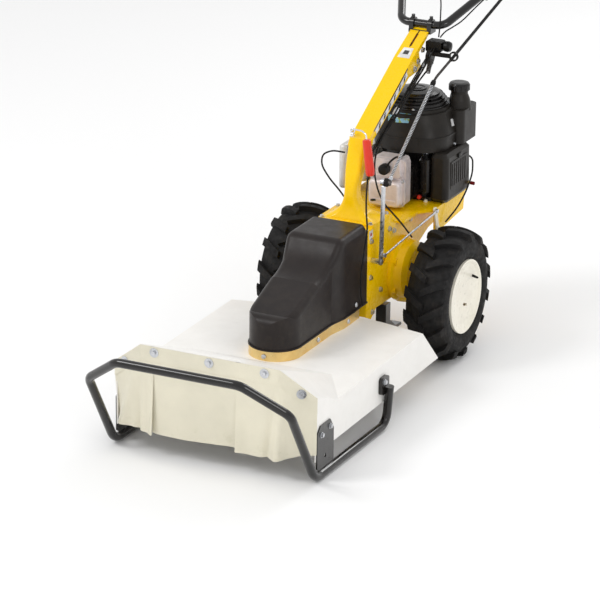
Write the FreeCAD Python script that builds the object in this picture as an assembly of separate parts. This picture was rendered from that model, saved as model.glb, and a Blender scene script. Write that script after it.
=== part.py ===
import FreeCAD, Part
import math
import os

# Two-wheeled brush mower: engine over the axle, belt-driven mowing deck in front,
# operator's handlebar behind.  +X is the left-hand side of an operator at the handlebar,
# +Y points to the rear, +Z is up, and the ground is z = 0.
# The model is drawn with the wheel axle at y = 0, and every piece is moved forward by
# AXLE_SHIFT when it is written, so that the origin is under the middle of the machine.

V = FreeCAD.Vector
X, Y, Z = V(1, 0, 0), V(0, 1, 0), V(0, 0, 1)

# --- driving dimensions, millimetres -------------------------------------------------
AXLE_SHIFT = 188.0

WHEEL_RADIUS = 205.0
TRACK_HALF = 245.0
TYRE_HALF = 68.0
RIM_RADIUS = 106.0
FLANGE_RADIUS = 114.0
LUG_COUNT = 15
LUG_DEPTH = 17.0
AXLE_RADIUS = 12.5
SLOT_BACK = 24.0
SLOT_DROP = 36.0
SLOT_TILT = -19.0

DECK_TOP = 200.0
DECK_HALF = 315.0
DECK_REAR = -338.0
DECK_WALL = 3.0
RAMP_START = -756.0
RAMP_FRONT = -1092.0
RAMP_TOP = 330.0
RAMP_HALF = 218.0
CORNER_FRONT = -1058.0
CORNER_TOP = 253.0
CORNER_EASE = 1.04
WING_REAR = -218.0
WING_FOOT = 82.0

SPINDLE_Y = -672.0
DRIVE_Y = -360.0
SPINDLE_SHAFT = 12.5
FLAP_THICK = 3.0
FLAP_BOTTOM = 60.0

BLADE_LENGTH = 590.0
BLADE_LEVEL = 96.0
BELT_LEVEL = 282.0
SPINDLE_PULLEY = 62.0
DRIVE_PULLEY = 50.0

COVER_HALF = 78.0
COVER_REAR_HALF = 92.0
COVER_BASE = 230.0
COVER_WALL = 3.0
COVER_EDGE = 20.0

CHASSIS_HALF = 90.0
CHASSIS_TOP = 455.0
PLATE_TOP = 425.0
PLATE_HALF = 150.0
PLATE_THICK = 8.0

ARM_HALF = 30.0

ENGINE_X = 15.0
CRANK_Y = 262.0
CYLINDER_LEVEL = 478.0
SHROUD_BOTTOM = 585.0
SHROUD_TOP = 706.0

TUBE = 13.0
BAR_TUBE = 12.5
BAR_Y = 324.0
BAR_LEVEL = 938.0
BAR_HALF = 70.0

CABLE_RADIUS = 2.6
RUNNING_FIT = 0.05
GAP = 0.3


# --- helpers -------------------------------------------------------------------------
def side(a, b):
    """A point of a side profile: a runs to the rear, b runs up."""
    return V(0, a, b)


def flat(a, b):
    """A point of a plan profile."""
    return V(a, b, 0)


def front(a, b):
    """A point of a front profile: a runs along X, b runs up."""
    return V(a, 0, b)


def outline(place, start, steps):
    """Closed wire from a start point and steps: (end,) is a line, (middle, end) an arc."""
    edges = []
    here = place(*start)
    for step in steps:
        there = place(*step[-1])
        if len(step) == 1:
            edges.append(Part.LineSegment(here, there).toShape())
        else:
            edges.append(Part.Arc(here, place(*step[0]), there).toShape())
        here = there
    if here.distanceToPoint(place(*start)) > 1e-6:
        edges.append(Part.LineSegment(here, place(*start)).toShape())
    return Part.Wire(edges)


def polygon(place, points):
    return outline(place, points[0], [(point,) for point in points[1:]])


def rounded(place, points, radius):
    """Closed wire through the corner points, each corner rounded by the same radius."""
    corners = [place(*point) for point in points]
    count = len(corners)
    ends = []
    for index, corner in enumerate(corners):
        before = (corners[index - 1] - corner).normalize()
        after = (corners[(index + 1) % count] - corner).normalize()
        half = before.getAngle(after) / 2
        reach = radius / math.tan(half)
        middle = (before + after).normalize() * (radius / math.sin(half) - radius)
        ends.append((corner + before * reach, corner + middle, corner + after * reach))
    edges = []
    for index, (enter, middle, leave) in enumerate(ends):
        edges.append(Part.Arc(enter, middle, leave).toShape())
        following = ends[(index + 1) % count][0]
        if leave.distanceToPoint(following) > 1e-4:
            edges.append(Part.LineSegment(leave, following).toShape())
    return Part.Wire(edges)


def prism(wire, vector):
    return Part.Face(wire).extrude(vector)


def slab(place, points, radius, offset, depth):
    """A rounded plate: the profile is moved by offset, then extruded by depth."""
    wire = rounded(place, points, radius) if radius else polygon(place, points)
    wire.translate(offset)
    return prism(wire, depth)


def box(low, high):
    size = V(*high) - V(*low)
    return Part.makeBox(size.x, size.y, size.z, V(*low))


def rounded_box(low, high, radius):
    """A box with its four upright edges rounded."""
    points = [(low[0], low[1]), (high[0], low[1]), (high[0], high[1]), (low[0], high[1])]
    return slab(flat, points, radius, Z * low[2], Z * (high[2] - low[2]))


def rod(start, end, radius):
    start, end = V(*start), V(*end)
    return Part.makeCylinder(radius, start.distanceToPoint(end), start, end - start)


def turned(profile, base, axis):
    """Solid of revolution from (radius, height) points about an axis through base."""
    points = [V(radius, 0, height) for radius, height in profile]
    solid = Part.Face(Part.makePolygon(points + points[:1])).revolve(V(), Z, 360)
    solid.Placement = FreeCAD.Placement(V(*base), FreeCAD.Rotation(Z, V(*axis)))
    return solid


def path(points, radii):
    """Open wire of straight runs joined by tangent arcs."""
    points = [V(*point) for point in points]
    if not isinstance(radii, (list, tuple)):
        radii = [radii] * (len(points) - 2)
    edges = []
    here = points[0]
    for index, radius in enumerate(radii, start=1):
        corner = points[index]
        before = (points[index - 1] - corner).normalize()
        after = (points[index + 1] - corner).normalize()
        half = before.getAngle(after) / 2
        reach = radius / math.tan(half)
        middle = (before + after).normalize() * (radius / math.sin(half) - radius)
        enter = corner + before * reach
        leave = corner + after * reach
        if here.distanceToPoint(enter) > 1e-4:
            edges.append(Part.LineSegment(here, enter).toShape())
        edges.append(Part.Arc(enter, corner + middle, leave).toShape())
        here = leave
    edges.append(Part.LineSegment(here, points[-1]).toShape())
    return Part.Wire(edges)


def cable_radii(points):
    """Arc radius at each inner point of a cable: 0.45 of the shorter run over tan(half turn)."""
    points = [V(*point) for point in points]
    radii = []
    for before, corner, after in zip(points, points[1:], points[2:]):
        turn = (corner - before).getAngle(after - corner)
        shorter = min(before.distanceToPoint(corner), corner.distanceToPoint(after))
        radii.append(0.45 * shorter / math.tan(turn / 2))
    return radii


def tube(points, radii, radius, bore=0.0):
    """Round bar or tube bent along its centre line."""
    spine = path(points, radii)
    start = V(*points[0])
    direction = V(*points[1]) - start
    outer = Part.Wire(Part.makeCircle(radius, start, direction))
    solid = spine.makePipeShell([outer], True, False)
    if bore:
        inner = Part.Wire(Part.makeCircle(bore, start, direction))
        solid = solid.cut(spine.makePipeShell([inner], True, False))
    return solid


def cable(points, radius):
    return tube(points, cable_radii(points), radius)


def join(*shapes):
    whole = shapes[0]
    if len(shapes) > 1:
        whole = whole.fuse(list(shapes[1:]))
    return whole.removeSplitter()


def group(shapes):
    return Part.Compound(list(shapes))


def mirrored(shape):
    return shape.mirror(V(), X)


def both_sides(shape):
    return group([shape, mirrored(shape)])


def bolt(base, axis, radius, head, length, washer=0.0):
    """Hexagon-head bolt with a thin washer; base is on the clamped face, axis points out."""
    axis = V(*axis).normalize()
    base = V(*base)
    head_base = base + axis * 1.5
    shank = Part.makeCylinder(radius, length + 1.5, base - axis * length, axis)
    ring = Part.makeCylinder(washer or head * 1.25, 1.5, base, axis)
    corners = [V(head * math.cos(k * math.pi / 3), head * math.sin(k * math.pi / 3), 0)
               for k in range(6)]
    hexagon = Part.Face(Part.makePolygon(corners + corners[:1])).extrude(Z * radius * 1.3)
    hexagon.Placement = FreeCAD.Placement(head_base, FreeCAD.Rotation(Z, axis))
    return join(shank, ring, hexagon)


# --- wheels ---------------------------------------------------------------------------
def tyre_envelope(crown, shoulder, half):
    """Revolved tyre form about the X axis; crown and shoulder are radii of the tread."""
    bead_half = 56.0
    widest = RIM_RADIUS + 0.52 * (shoulder - RIM_RADIUS)
    wire = outline(front, (-bead_half, RIM_RADIUS), [
        ((-bead_half, FLANGE_RADIUS + 3),),
        ((-half, widest), (-half + 8, shoulder - 6)),
        ((0, crown), (half - 8, shoulder - 6)),
        ((half, widest), (bead_half, FLANGE_RADIUS + 3)),
        ((bead_half, RIM_RADIUS),),
    ])
    return Part.Face(wire).revolve(V(), X, 360)


def lug_master(hand):
    """One bar of the V tread, from just past the middle out over the shoulder."""
    bottom = WHEEL_RADIUS - LUG_DEPTH - 22
    bar = polygon(flat, [(-5, -13), (-5, 9), (40, 37), (TYRE_HALF + 4, 52),
                         (TYRE_HALF + 4, 27), (42, 13)])
    bar.translate(Z * bottom)
    solid = prism(bar, Z * (WHEEL_RADIUS + 6 - bottom))
    solid = solid.common(tyre_envelope(WHEEL_RADIUS, WHEEL_RADIUS - 8, TYRE_HALF + 0.4))
    return solid if hand > 0 else mirrored(solid)


def tyre(side_sign):
    carcass = tyre_envelope(WHEEL_RADIUS - LUG_DEPTH, WHEEL_RADIUS - LUG_DEPTH - 8, TYRE_HALF - 2)
    step = 360.0 / LUG_COUNT
    lugs = []
    for hand, start in ((1, 0.0), (-1, step / 2)):
        master = lug_master(hand)
        for index in range(LUG_COUNT):
            lug = master.copy()
            lug.rotate(V(), X, start + index * step)
            lugs.append(lug)
    solid = carcass.fuse(lugs)
    solid.translate(V(side_sign * TRACK_HALF, 0, WHEEL_RADIUS))
    return solid


def rim(side_sign):
    """Pressed steel wheel: barrel with flanges, closed dished disc with a slot, hub tube."""
    barrel = [(RIM_RADIUS - 0.1, -56.0), (RIM_RADIUS - 0.1, 56.3), (FLANGE_RADIUS, 56.3),
              (FLANGE_RADIUS, 64), (FLANGE_RADIUS - 5, 64), (102, 58), (88, 54), (44, 49),
              (0, 49), (0, 43), (AXLE_RADIUS + RUNNING_FIT, 43),
              (AXLE_RADIUS + RUNNING_FIT, -30), (19, -30), (19, 44), (44, 44), (90, 48),
              (101, 46), (101, -54), (FLANGE_RADIUS - 3, -62), (FLANGE_RADIUS, -62),
              (FLANGE_RADIUS, -56.3), (RIM_RADIUS - 0.1, -56.3)]
    solid = turned(barrel, (0, 0, 0), (1, 0, 0))
    slot = rounded(side, [(-14, -4), (14, -4), (14, 4), (-14, 4)], 3.8)
    slot.rotate(V(), X, SLOT_TILT)
    slot.translate(V(30, SLOT_BACK, -SLOT_DROP))
    slot = prism(slot, X * 60)
    solid = solid.cut(slot)
    if side_sign < 0:
        solid = mirrored(solid)
    solid.translate(V(side_sign * TRACK_HALF, 0, WHEEL_RADIUS))
    return solid


def axle_shaft():
    end = TRACK_HALF + 42.5
    shaft = rod((-end, 0, WHEEL_RADIUS), (end, 0, WHEEL_RADIUS), AXLE_RADIUS)
    keyway = box((-end, -2.5, WHEEL_RADIUS + AXLE_RADIUS - 2.5),
                 (-end + 60, 2.5, WHEEL_RADIUS + AXLE_RADIUS + 1))
    return shaft.cut([keyway, mirrored(keyway)])


def hub_collars():
    """Collar that clamps each wheel's hub tube on the axle, with its square-headed screw."""
    clip = turned([(20, 0), (27, 0), (27, 12), (20, 12)],
                  (TRACK_HALF - 45, 0, WHEEL_RADIUS), (1, 0, 0))
    inner = turned([(AXLE_RADIUS + 0.1, 0), (20, 0), (20, 12), (AXLE_RADIUS + 0.1, 12)],
                   (TRACK_HALF - 45, 0, WHEEL_RADIUS), (1, 0, 0))
    screw = box((TRACK_HALF - 43, -4, WHEEL_RADIUS + 26), (TRACK_HALF - 35, 4, WHEEL_RADIUS + 33))
    return both_sides(join(clip, inner, screw))


# --- mowing deck ----------------------------------------------------------------------
def deck_form(inset):
    """Solid form of the deck's outer (inset 0) or inner (inset = wall) skin, floor downwards."""
    half = DECK_HALF - inset
    top = DECK_TOP - inset
    rear_wide = 160.0
    plan = [(-half, CORNER_FRONT + inset), (-RAMP_HALF, RAMP_FRONT + inset),
            (RAMP_HALF, RAMP_FRONT + inset), (half, CORNER_FRONT + inset),
            (half, DECK_REAR - inset), (rear_wide, DECK_REAR + 33 - inset),
            (-rear_wide, DECK_REAR + 33 - inset), (-half, DECK_REAR - inset)]
    body = slab(flat, plan, 0, Z * (40 - inset), Z * (top - 40 + inset))
    rise = (RAMP_TOP - DECK_TOP) / (RAMP_START - RAMP_FRONT)
    front_line = RAMP_FRONT + inset
    corner_line = CORNER_FRONT + inset
    start_side = corner_line + (CORNER_TOP - DECK_TOP) / rise * CORNER_EASE
    crown = RAMP_TOP - inset
    shoulder = CORNER_TOP - inset
    low = [V(-RAMP_HALF, RAMP_START, top), V(RAMP_HALF, RAMP_START, top),
           V(half, start_side, top), V(half, corner_line, top), V(RAMP_HALF, front_line, top),
           V(-RAMP_HALF, front_line, top), V(-half, corner_line, top), V(-half, start_side, top)]
    high = [V(RAMP_HALF, front_line, crown), V(-RAMP_HALF, front_line, crown),
            V(half, corner_line, shoulder), V(-half, corner_line, shoulder)]
    faces = [low,
             [low[0], low[1], high[0], high[1]],
             [low[1], low[2], high[0]], [low[2], high[2], high[0]],
             [low[0], high[1], low[7]], [low[7], high[1], high[3]],
             [low[2], low[3], high[2]], [low[6], low[7], high[3]],
             [low[3], low[4], high[0], high[2]], [low[5], low[6], high[3], high[1]],
             [low[4], low[5], high[1], high[0]]]
    shells = [Part.Face(Part.makePolygon(loop + loop[:1])) for loop in faces]
    raised = Part.Solid(Part.Shell(shells))
    if raised.Volume < 0:
        raised.reverse()
    return join(body, raised)


def deck_shell():
    shell = deck_form(0).cut(deck_form(DECK_WALL))
    skirt = [(-1200, 0), (-1200, 58), (-1030, 58), (-960, WING_FOOT), (WING_REAR, WING_FOOT),
             (-336, 199), (-100, 199), (-100, 0)]
    below = slab(side, skirt, 0, X * -400, X * 800)
    mouth = slab(front, [(-312, 0), (-312, 203), (-218, 281), (218, 281), (312, 203), (312, 0)],
                 0, Y * -1120, Y * 90)
    shell = shell.cut([below, mouth])
    holes = [rod((0, SPINDLE_Y, 150), (0, SPINDLE_Y, 260), 32)]
    for index in range(4):
        angle = math.radians(45 + 90 * index)
        spot = (55 * math.cos(angle), SPINDLE_Y + 55 * math.sin(angle))
        holes.append(rod((spot[0], spot[1], 150), (spot[0], spot[1], 260), 4.5))
    wing = slab(side, [(DECK_REAR - 4, WING_FOOT), (WING_REAR, WING_FOOT), (DECK_REAR + 2, 199),
                       (DECK_REAR - 4, 199)], 0, X * (DECK_HALF - DECK_WALL), X * DECK_WALL)
    return join(shell.cut(holes), wing, mirrored(wing))


def front_flap():
    """Rubberised canvas curtain across the deck's mouth, a plain closed sheet."""
    corner, fold, face, cut = DECK_HALF + 3, RAMP_HALF + 0.1, RAMP_FRONT - GAP, FLAP_THICK
    wire = polygon(flat, [
        (-corner, CORNER_FRONT + 0.8), (-fold, face), (fold, face), (corner, CORNER_FRONT + 0.8),
        (corner + 1, CORNER_FRONT + 0.8 - cut), (fold + 0.6, face - cut),
        (-fold - 0.6, face - cut), (-corner - 1, CORNER_FRONT + 0.8 - cut)])
    wire.translate(Z * FLAP_BOTTOM)
    sheet = prism(wire, Z * 300)
    edge = RAMP_TOP - 1
    above = polygon(front, [(-330, 250), (-330, 400), (330, 400), (330, 250),
                            (corner, CORNER_TOP - 1), (fold, edge), (-fold, edge),
                            (-corner, CORNER_TOP - 1)])
    above.translate(Y * -1200)
    return sheet.cut(prism(above, Y * 400))


def flap_bolts():
    """Wide-washer bolts along the flap's top strip: three on the face, one on each facet."""
    face = RAMP_FRONT - GAP - FLAP_THICK
    bolts = [bolt((x, face, 312), (0, -1, 0), 4, 6.5, 12, 14) for x in (0, 173, -173)]
    facet = V(DECK_HALF - RAMP_HALF, CORNER_FRONT - RAMP_FRONT, 0).normalize()
    outward = V(facet.y, -facet.x, 0)
    middle = V(RAMP_HALF, RAMP_FRONT, 0) + facet * 62 + outward * (FLAP_THICK + 2 * GAP)
    corner = bolt((middle.x, middle.y, 262), tuple(outward), 4, 6.5, 12, 14)
    return group(bolts + [corner, mirrored(corner)])


def guard_half_points():
    """Centre line of the front guard from the deck side down, forward, up and across."""
    return [(DECK_HALF + 21, -612, 134), (322, -602, 13), (318, -1069, 13), (315, -1219, 254.5),
            (192, -1282, 344)]


def front_guard():
    right = guard_half_points()
    left = [(-x, y, z) for x, y, z in reversed(right)]
    radii = [34, 60, 46, 46]
    bar = tube(right + left, radii + radii[::-1], TUBE)
    ear = slab(side, [(-644, 112), (-596, 112), (-596, 164), (-644, 164)], 10,
               X * (DECK_HALF + 0.2), X * 12)
    return join(bar, ear, mirrored(ear))


def guard_brackets():
    """Flat plates that hold the guard's lower runs to the deck's front corners."""
    profile = [(-1056, 36), (-1038, 25), (-950, 25), (-950, 128), (-972, 160), (-1036, 160),
               (-1056, 140)]
    plate = slab(side, profile, 0, X * (DECK_HALF + 0.2), X * 4)
    plate = plate.cut([rod((300, -1004, 62), (330, -1004, 62), 6)])
    return both_sides(plate)


def guard_bolts():
    spots = [(-628, 150, 12.3), (-975, 140, 4.3), (-1030, 132, 4.3)]
    bolts = [bolt((DECK_HALF + reach, y, z), (1, 0, 0), 4, 7, reach + 6) for y, z, reach in spots]
    return both_sides(group(bolts))


# --- blade spindle and belt drive -------------------------------------------------------
def spindle_housing():
    profile = [(SPINDLE_SHAFT + 14, 0), (70, 0), (70, 8), (36, 14), (31, 60), (26.5, 60)]
    body = turned(profile, (0, SPINDLE_Y, DECK_TOP + 0.1), (0, 0, 1))
    lower = turned([(26.5, 0), (31.5, 0), (31.5, 52), (26.5, 52)],
                   (0, SPINDLE_Y, DECK_TOP - 51.9), (0, 0, 1))
    ribs = []
    for index in range(4):
        rib = slab(side, [(28, 10), (60, 8), (30, 52)], 0, X * -3, X * 6)
        rib.rotate(V(), Z, index * 90)
        rib.translate(V(0, SPINDLE_Y, DECK_TOP + 0.1))
        ribs.append(rib)
    holes = []
    for index in range(4):
        angle = math.radians(45 + 90 * index)
        x, y = 55 * math.cos(angle), SPINDLE_Y + 55 * math.sin(angle)
        holes.append(rod((x, y, DECK_TOP - 5), (x, y, DECK_TOP + 30), 4.5))
    return join(body, lower, *ribs).cut(holes)


def bearing(centre, inner, outer, width, axis=(0, 0, 1)):
    """Ball bearing drawn as one ring with grooved faces."""
    race = (outer - inner) / 3
    profile = [(inner, 0), (inner + race, 0), (inner + race, 1.2), (outer - race, 1.2),
               (outer - race, 0), (outer, 0), (outer, width), (outer - race, width),
               (outer - race, width - 1.2), (inner + race, width - 1.2), (inner + race, width),
               (inner, width)]
    return turned(profile, centre, axis)


def bearings():
    seats = [bearing((0, SPINDLE_Y, DECK_TOP - 50), SPINDLE_SHAFT + RUNNING_FIT, 26.4, 15),
             bearing((0, SPINDLE_Y, DECK_TOP + 43), SPINDLE_SHAFT + RUNNING_FIT, 26.4, 15),
             bearing((0, DRIVE_Y, 308), 10 + RUNNING_FIT, 20.9, 14),
             bearing((0, DRIVE_Y, 366), 10 + RUNNING_FIT, 20.9, 14)]
    for sign in (1, -1):
        seats.append(bearing((sign * 100, 0, WHEEL_RADIUS), AXLE_RADIUS + RUNNING_FIT, 31, 16,
                             (sign, 0, 0)))
    return group(seats)


def blade_spindle():
    profile = [(0, 0), (9, 0), (9, 8), (34, 8), (34, 14), (20, 20), (20, 47),
               (SPINDLE_SHAFT, 47), (SPINDLE_SHAFT, 212), (0, 212)]
    shaft = turned(profile, (0, SPINDLE_Y, BLADE_LEVEL - 8), (0, 0, 1))
    nut = slab(flat, [(13 * math.cos(k * math.pi / 3), 13 * math.sin(k * math.pi / 3))
                      for k in range(6)], 0, V(0, SPINDLE_Y, BLADE_LEVEL - 18), Z * 10)
    washer = turned([(0, 0), (26, 0), (26, 3), (0, 3)], (0, SPINDLE_Y, BLADE_LEVEL - 9),
                    (0, 0, 1))
    return join(shaft, nut, washer)


def cutter_blade():
    """Straight brush blade: ground cutting edges and upturned trailing wings at both ends."""
    half, wide, thick = BLADE_LENGTH / 2, 32.0, 6.0
    plan = [(-half, -wide), (-half + 20, wide), (half, wide), (half - 20, -wide)]
    bar = slab(flat, plan, 4, V(), Z * thick)
    edges = []
    for sign in (1, -1):
        wedge = slab(side, [(wide - 14, thick + 0.1), (wide + 1, thick + 0.1), (wide + 1, 1)],
                     0, X * 150, X * 200)
        if sign < 0:
            wedge.rotate(V(), Z, 180)
        edges.append(wedge)
    bar = bar.cut(edges)
    wing = slab(side, [(-wide, 0), (-wide + 12, 0), (-wide + 12, 6), (-wide, 26),
                       (-wide - 5, 23)], 0, X * (half - 120), X * 95)
    other = wing.copy()
    other.rotate(V(), Z, 180)
    blade = join(bar, wing, other)
    blade = blade.cut(rod((0, 0, -5), (0, 0, 20), 9 + 0.05))
    blade.translate(V(0, SPINDLE_Y, BLADE_LEVEL - 6))
    return blade


def pulley(centre, radius, bore, width=20.0, hub=16.0):
    """V-belt pulley with a tapered groove, a thin web and a hub."""
    flange = radius + 6
    w = width / 2
    profile = [(bore, -w - 6), (hub + 4, -w - 6), (hub + 4, -4), (radius - 12, -4),
               (radius - 12, -w), (flange, -w), (flange, -w + 2), (radius - 6, -5.2),
               (radius - 6, 5.2), (flange, w - 2), (flange, w), (radius - 12, w),
               (radius - 12, 4), (hub + 4, 4), (hub + 4, w + 2), (bore, w + 2)]
    return turned(profile, centre, (0, 0, 1))


def belt_loop(inset):
    """Flat loop round both pulleys at the belt's pitch line, moved in by inset."""
    big, small = SPINDLE_PULLEY - inset, DRIVE_PULLEY - inset
    span = DRIVE_Y - SPINDLE_Y
    lean = math.asin((big - small) / span)
    cos_l, sin_l = math.cos(lean), math.sin(lean)
    return outline(flat, (big * cos_l, SPINDLE_Y + big * sin_l), [
        ((small * cos_l, DRIVE_Y + small * sin_l),),
        ((0, DRIVE_Y + small), (-small * cos_l, DRIVE_Y + small * sin_l)),
        ((-big * cos_l, SPINDLE_Y + big * sin_l),),
        ((0, SPINDLE_Y - big), (big * cos_l, SPINDLE_Y + big * sin_l))])


def drive_belt():
    outer = prism(belt_loop(-3.5), Z * 9)
    inner = prism(belt_loop(4.0), Z * 9)
    belt = outer.cut(inner)
    belt.translate(Z * (BELT_LEVEL - 4.5))
    return belt


def spindle_pulley():
    return pulley((0, SPINDLE_Y, BELT_LEVEL), SPINDLE_PULLEY, SPINDLE_SHAFT + 0.02)


def drive_pulley():
    return pulley((0, DRIVE_Y, BELT_LEVEL), DRIVE_PULLEY, 10.02)


def drive_shaft():
    profile = [(0, 0), (10, 0), (10, 140), (8, 142), (8, 160), (0, 160)]
    return turned(profile, (0, DRIVE_Y, 262), (0, 0, 1))


def drive_housing():
    """Bearing tube of the drive shaft on an arm bolted to the chassis front."""
    barrel = turned([(21.0, 0), (29, 0), (29, 78), (21.0, 78)], (0, DRIVE_Y, 306), (0, 0, 1))
    arm = slab(side, [(DRIVE_Y + 25, 308), (-254, 272), (-254, 404), (DRIVE_Y + 25, 380)], 0,
               X * -9, X * 18)
    plate = slab(front, [(-45, 255), (45, 255), (45, 410), (-45, 410)], 10, Y * -258, Y * 7.7)
    return join(barrel, arm, plate)


# --- belt cover ---------------------------------------------------------------------------
def cover_form(inset):
    """Moulded cover: rounded nose over the spindle, rising to a tall box at the rear."""
    lift = COVER_BASE - (5 if inset else 0)
    profile = outline(side, (-752 + inset, lift), [
        ((-750 + inset, 296 - inset),),
        ((-744 + inset, 320 - inset), (-716, 331 - inset)),
        ((-560, 386 - inset),),
        ((-475, 420 - inset), (-436 + inset, 462 - inset)),
        ((-424 + inset, 474 - inset), (-404, 479 - inset)),
        ((-262 - inset, 479 - inset),),
        ((-250 - inset, 467 - inset),),
        ((-250 - inset, lift),)])
    body = prism(profile, X * 400)
    body.translate(X * -200)
    nose, rear = COVER_HALF - inset, COVER_REAR_HALF - inset
    plan = outline(flat, (-nose, SPINDLE_Y), [
        ((0, SPINDLE_Y - nose), (nose, SPINDLE_Y)),
        ((nose + 2, -470),),
        ((rear - 4, -440), (rear, -405)),
        ((rear, -250 - inset),),
        ((-rear, -250 - inset),),
        ((-rear, -405),),
        ((-rear + 4, -440), (-nose - 2, -470))])
    column = prism(plan, Z * 600)
    return body.common(column)


def top_edges(form):
    """The long edges where the cover's sides meet its top."""
    return [edge for edge in form.Edges
            if edge.CenterOfMass.z > 290 and abs(edge.CenterOfMass.x) > 30
            and edge.BoundBox.YLength > 1]


def belt_cover():
    outer = cover_form(0)
    outer = outer.makeFillet(COVER_EDGE, top_edges(outer))
    inner = cover_form(COVER_WALL)
    inner = inner.makeFillet(COVER_EDGE - COVER_WALL, top_edges(inner))
    shell = outer.cut(inner)
    foot = prism(cover_loop(COVER_HALF + 4, COVER_REAR_HALF + 4, -250), Z * 4)
    foot = foot.cut(prism(cover_loop(COVER_HALF - 2, COVER_REAR_HALF - 2, -240), Z * 4))
    foot.translate(Z * COVER_BASE)
    window = box((-62, -256, 225), (62, -235, 426))
    return join(shell, foot).cut(window)


def cover_loop(half, rear, back):
    """Plan outline of the cover's base, with a rounded nose."""
    return outline(flat, (-half, SPINDLE_Y), [
        ((0, SPINDLE_Y - half), (half, SPINDLE_Y)), ((half + 2, -470),), ((rear, -405),),
        ((rear, back),), ((-rear, back),), ((-rear, -405),), ((-half - 2, -470),)])


def cover_base():
    """Plated steel frame that the cover sits on, screwed to the deck."""
    outer = prism(cover_loop(COVER_HALF + 2, COVER_REAR_HALF + 2, -306), Z * 30)
    inner = prism(cover_loop(COVER_HALF - 2, COVER_REAR_HALF - 2, -300), Z * 30)
    ring = outer.cut(inner)
    ring.translate(Z * DECK_TOP)
    return ring


def cover_screws():
    spots = [((0, -754, 214), (0, -1, 0)), ((82, -560, 214), (1, 0, 0)), ((94, -380, 214), (1, 0, 0)),
             ((95.5, -330, 250), (1, 0, 0))]
    screws = []
    for base, axis in spots:
        screw = turned([(0, -6), (3, -6), (3, 0), (7.5, 0), (6, 3), (3, 4.2), (0, 4.4)], base, axis)
        screws.append(screw)
        if base[0]:
            screws.append(mirrored(screw))
    return group(screws)


# --- chassis and transmission ------------------------------------------------------------
def chassis_frame():
    """Folded and welded frame: two side plates, front box, top and the engine plate."""
    thick = 5.0
    profile = [(-250, 182), (-212, 164), (-177, 190), (-61, 186), (120, 186), (120, 300),
               (200, 330), (330, 345), (330, PLATE_TOP), (-60, PLATE_TOP), (-76, CHASSIS_TOP),
               (-238, CHASSIS_TOP), (-250, 440)]
    cheek = slab(side, profile, 0, X * (CHASSIS_HALF - thick), X * thick)
    cheek = cheek.cut([rod((0, 0, WHEEL_RADIUS), (200, 0, WHEEL_RADIUS), 32),
                       rod((0, -120, 330), (200, -120, 330), 16)])
    front_plate = box((-CHASSIS_HALF, -250, 182), (CHASSIS_HALF, -245, 440))
    top_plate = box((-CHASSIS_HALF, -238, CHASSIS_TOP - thick), (CHASSIS_HALF, -76, CHASSIS_TOP))
    waist = CHASSIS_HALF + 22
    plate = slab(flat, [(-waist, -40), (waist, -40), (waist, 66), (PLATE_HALF, 108),
                        (PLATE_HALF, 360), (-PLATE_HALF, 360), (-PLATE_HALF, 108), (-waist, 66)],
                 12, Z * (PLATE_TOP - PLATE_THICK), Z * PLATE_THICK)
    plate = plate.cut(rod((ENGINE_X, CRANK_Y, 400), (ENGINE_X, CRANK_Y, 450), 45))
    flange = slab(side, [(112, PLATE_TOP - 4), (340, PLATE_TOP - 4), (330, 362), (140, 345),
                         (112, 350)], 0, X * (PLATE_HALF - 5), X * 5)
    cross = box((-CHASSIS_HALF, 322, 345), (CHASSIS_HALF, 330, PLATE_TOP - 2))
    return join(cheek, mirrored(cheek), front_plate, top_plate, plate, flange,
                mirrored(flange), cross)


def final_drive(sign):
    """Final-drive case between the chassis side and the wheel."""
    drum = turned([(0, 0), (100, 0), (100, 10), (92, 16), (88, 40), (70, 52), (0, 56)],
                  (CHASSIS_HALF + 0.2, 0, 262), (1, 0, 0))
    boss = turned([(0, 0), (50, 0), (48, 40), (38, 58), (0, 58)],
                  (CHASSIS_HALF + 0.2, 0, WHEEL_RADIUS), (1, 0, 0))
    bore = rod((CHASSIS_HALF - 5, 0, WHEEL_RADIUS), (170, 0, WHEEL_RADIUS), AXLE_RADIUS + 2)
    seat = rod((CHASSIS_HALF - 5, 0, WHEEL_RADIUS), (116.2, 0, WHEEL_RADIUS), 31.05)
    lugs = []
    for index in range(6):
        angle = math.radians(30 + 60 * index)
        y, z = 90 * math.cos(angle), 262 + 90 * math.sin(angle)
        lugs.append(rod((CHASSIS_HALF + 0.2, y, z), (CHASSIS_HALF + 22, y, z), 11))
    case = join(drum, boss, *lugs).cut([bore, seat])
    return case if sign > 0 else mirrored(case)


def gearbox_case():
    """Gearbox between the side plates: ribbed casting with the axle passing through."""
    low = slab(side, [(-120, 196), (110, 196), (110, 330), (60, 400), (-140, 400), (-180, 330),
                      (-180, 230)], 18, X * -70, X * 140)
    ribs = [slab(side, [(-150, 215), (96, 215), (96, 330), (54, 392), (-132, 392), (-168, 330)],
                 12, X * x, X * 14) for x in (-82, 68)]
    bore = rod((-90, 0, WHEEL_RADIUS), (90, 0, WHEEL_RADIUS), AXLE_RADIUS + 2)
    foot = slab(front, [(-45, 197), (45, 197), (30, 150), (-30, 150)], 0, Y * -60, Y * 60)
    return join(low, *ribs, foot).cut(bore)


def rear_skid():
    """Black support foot under the gearbox that the machine leans on when it tips back."""
    profile = [(-46, 150), (-14, 150), (-14, 92), (26, 62), (70, 58), (70, 50), (20, 50), (-30, 80),
               (-46, 92)]
    return slab(side, profile, 0, X * 30, X * 34)


# --- steering column ------------------------------------------------------------------------
def section(level, middle, half, depth, radius):
    points = [(-half, middle - depth / 2), (half, middle - depth / 2), (half, middle + depth / 2),
              (-half, middle + depth / 2)]
    wire = rounded(flat, points, radius)
    wire.translate(Z * level)
    return wire


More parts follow.
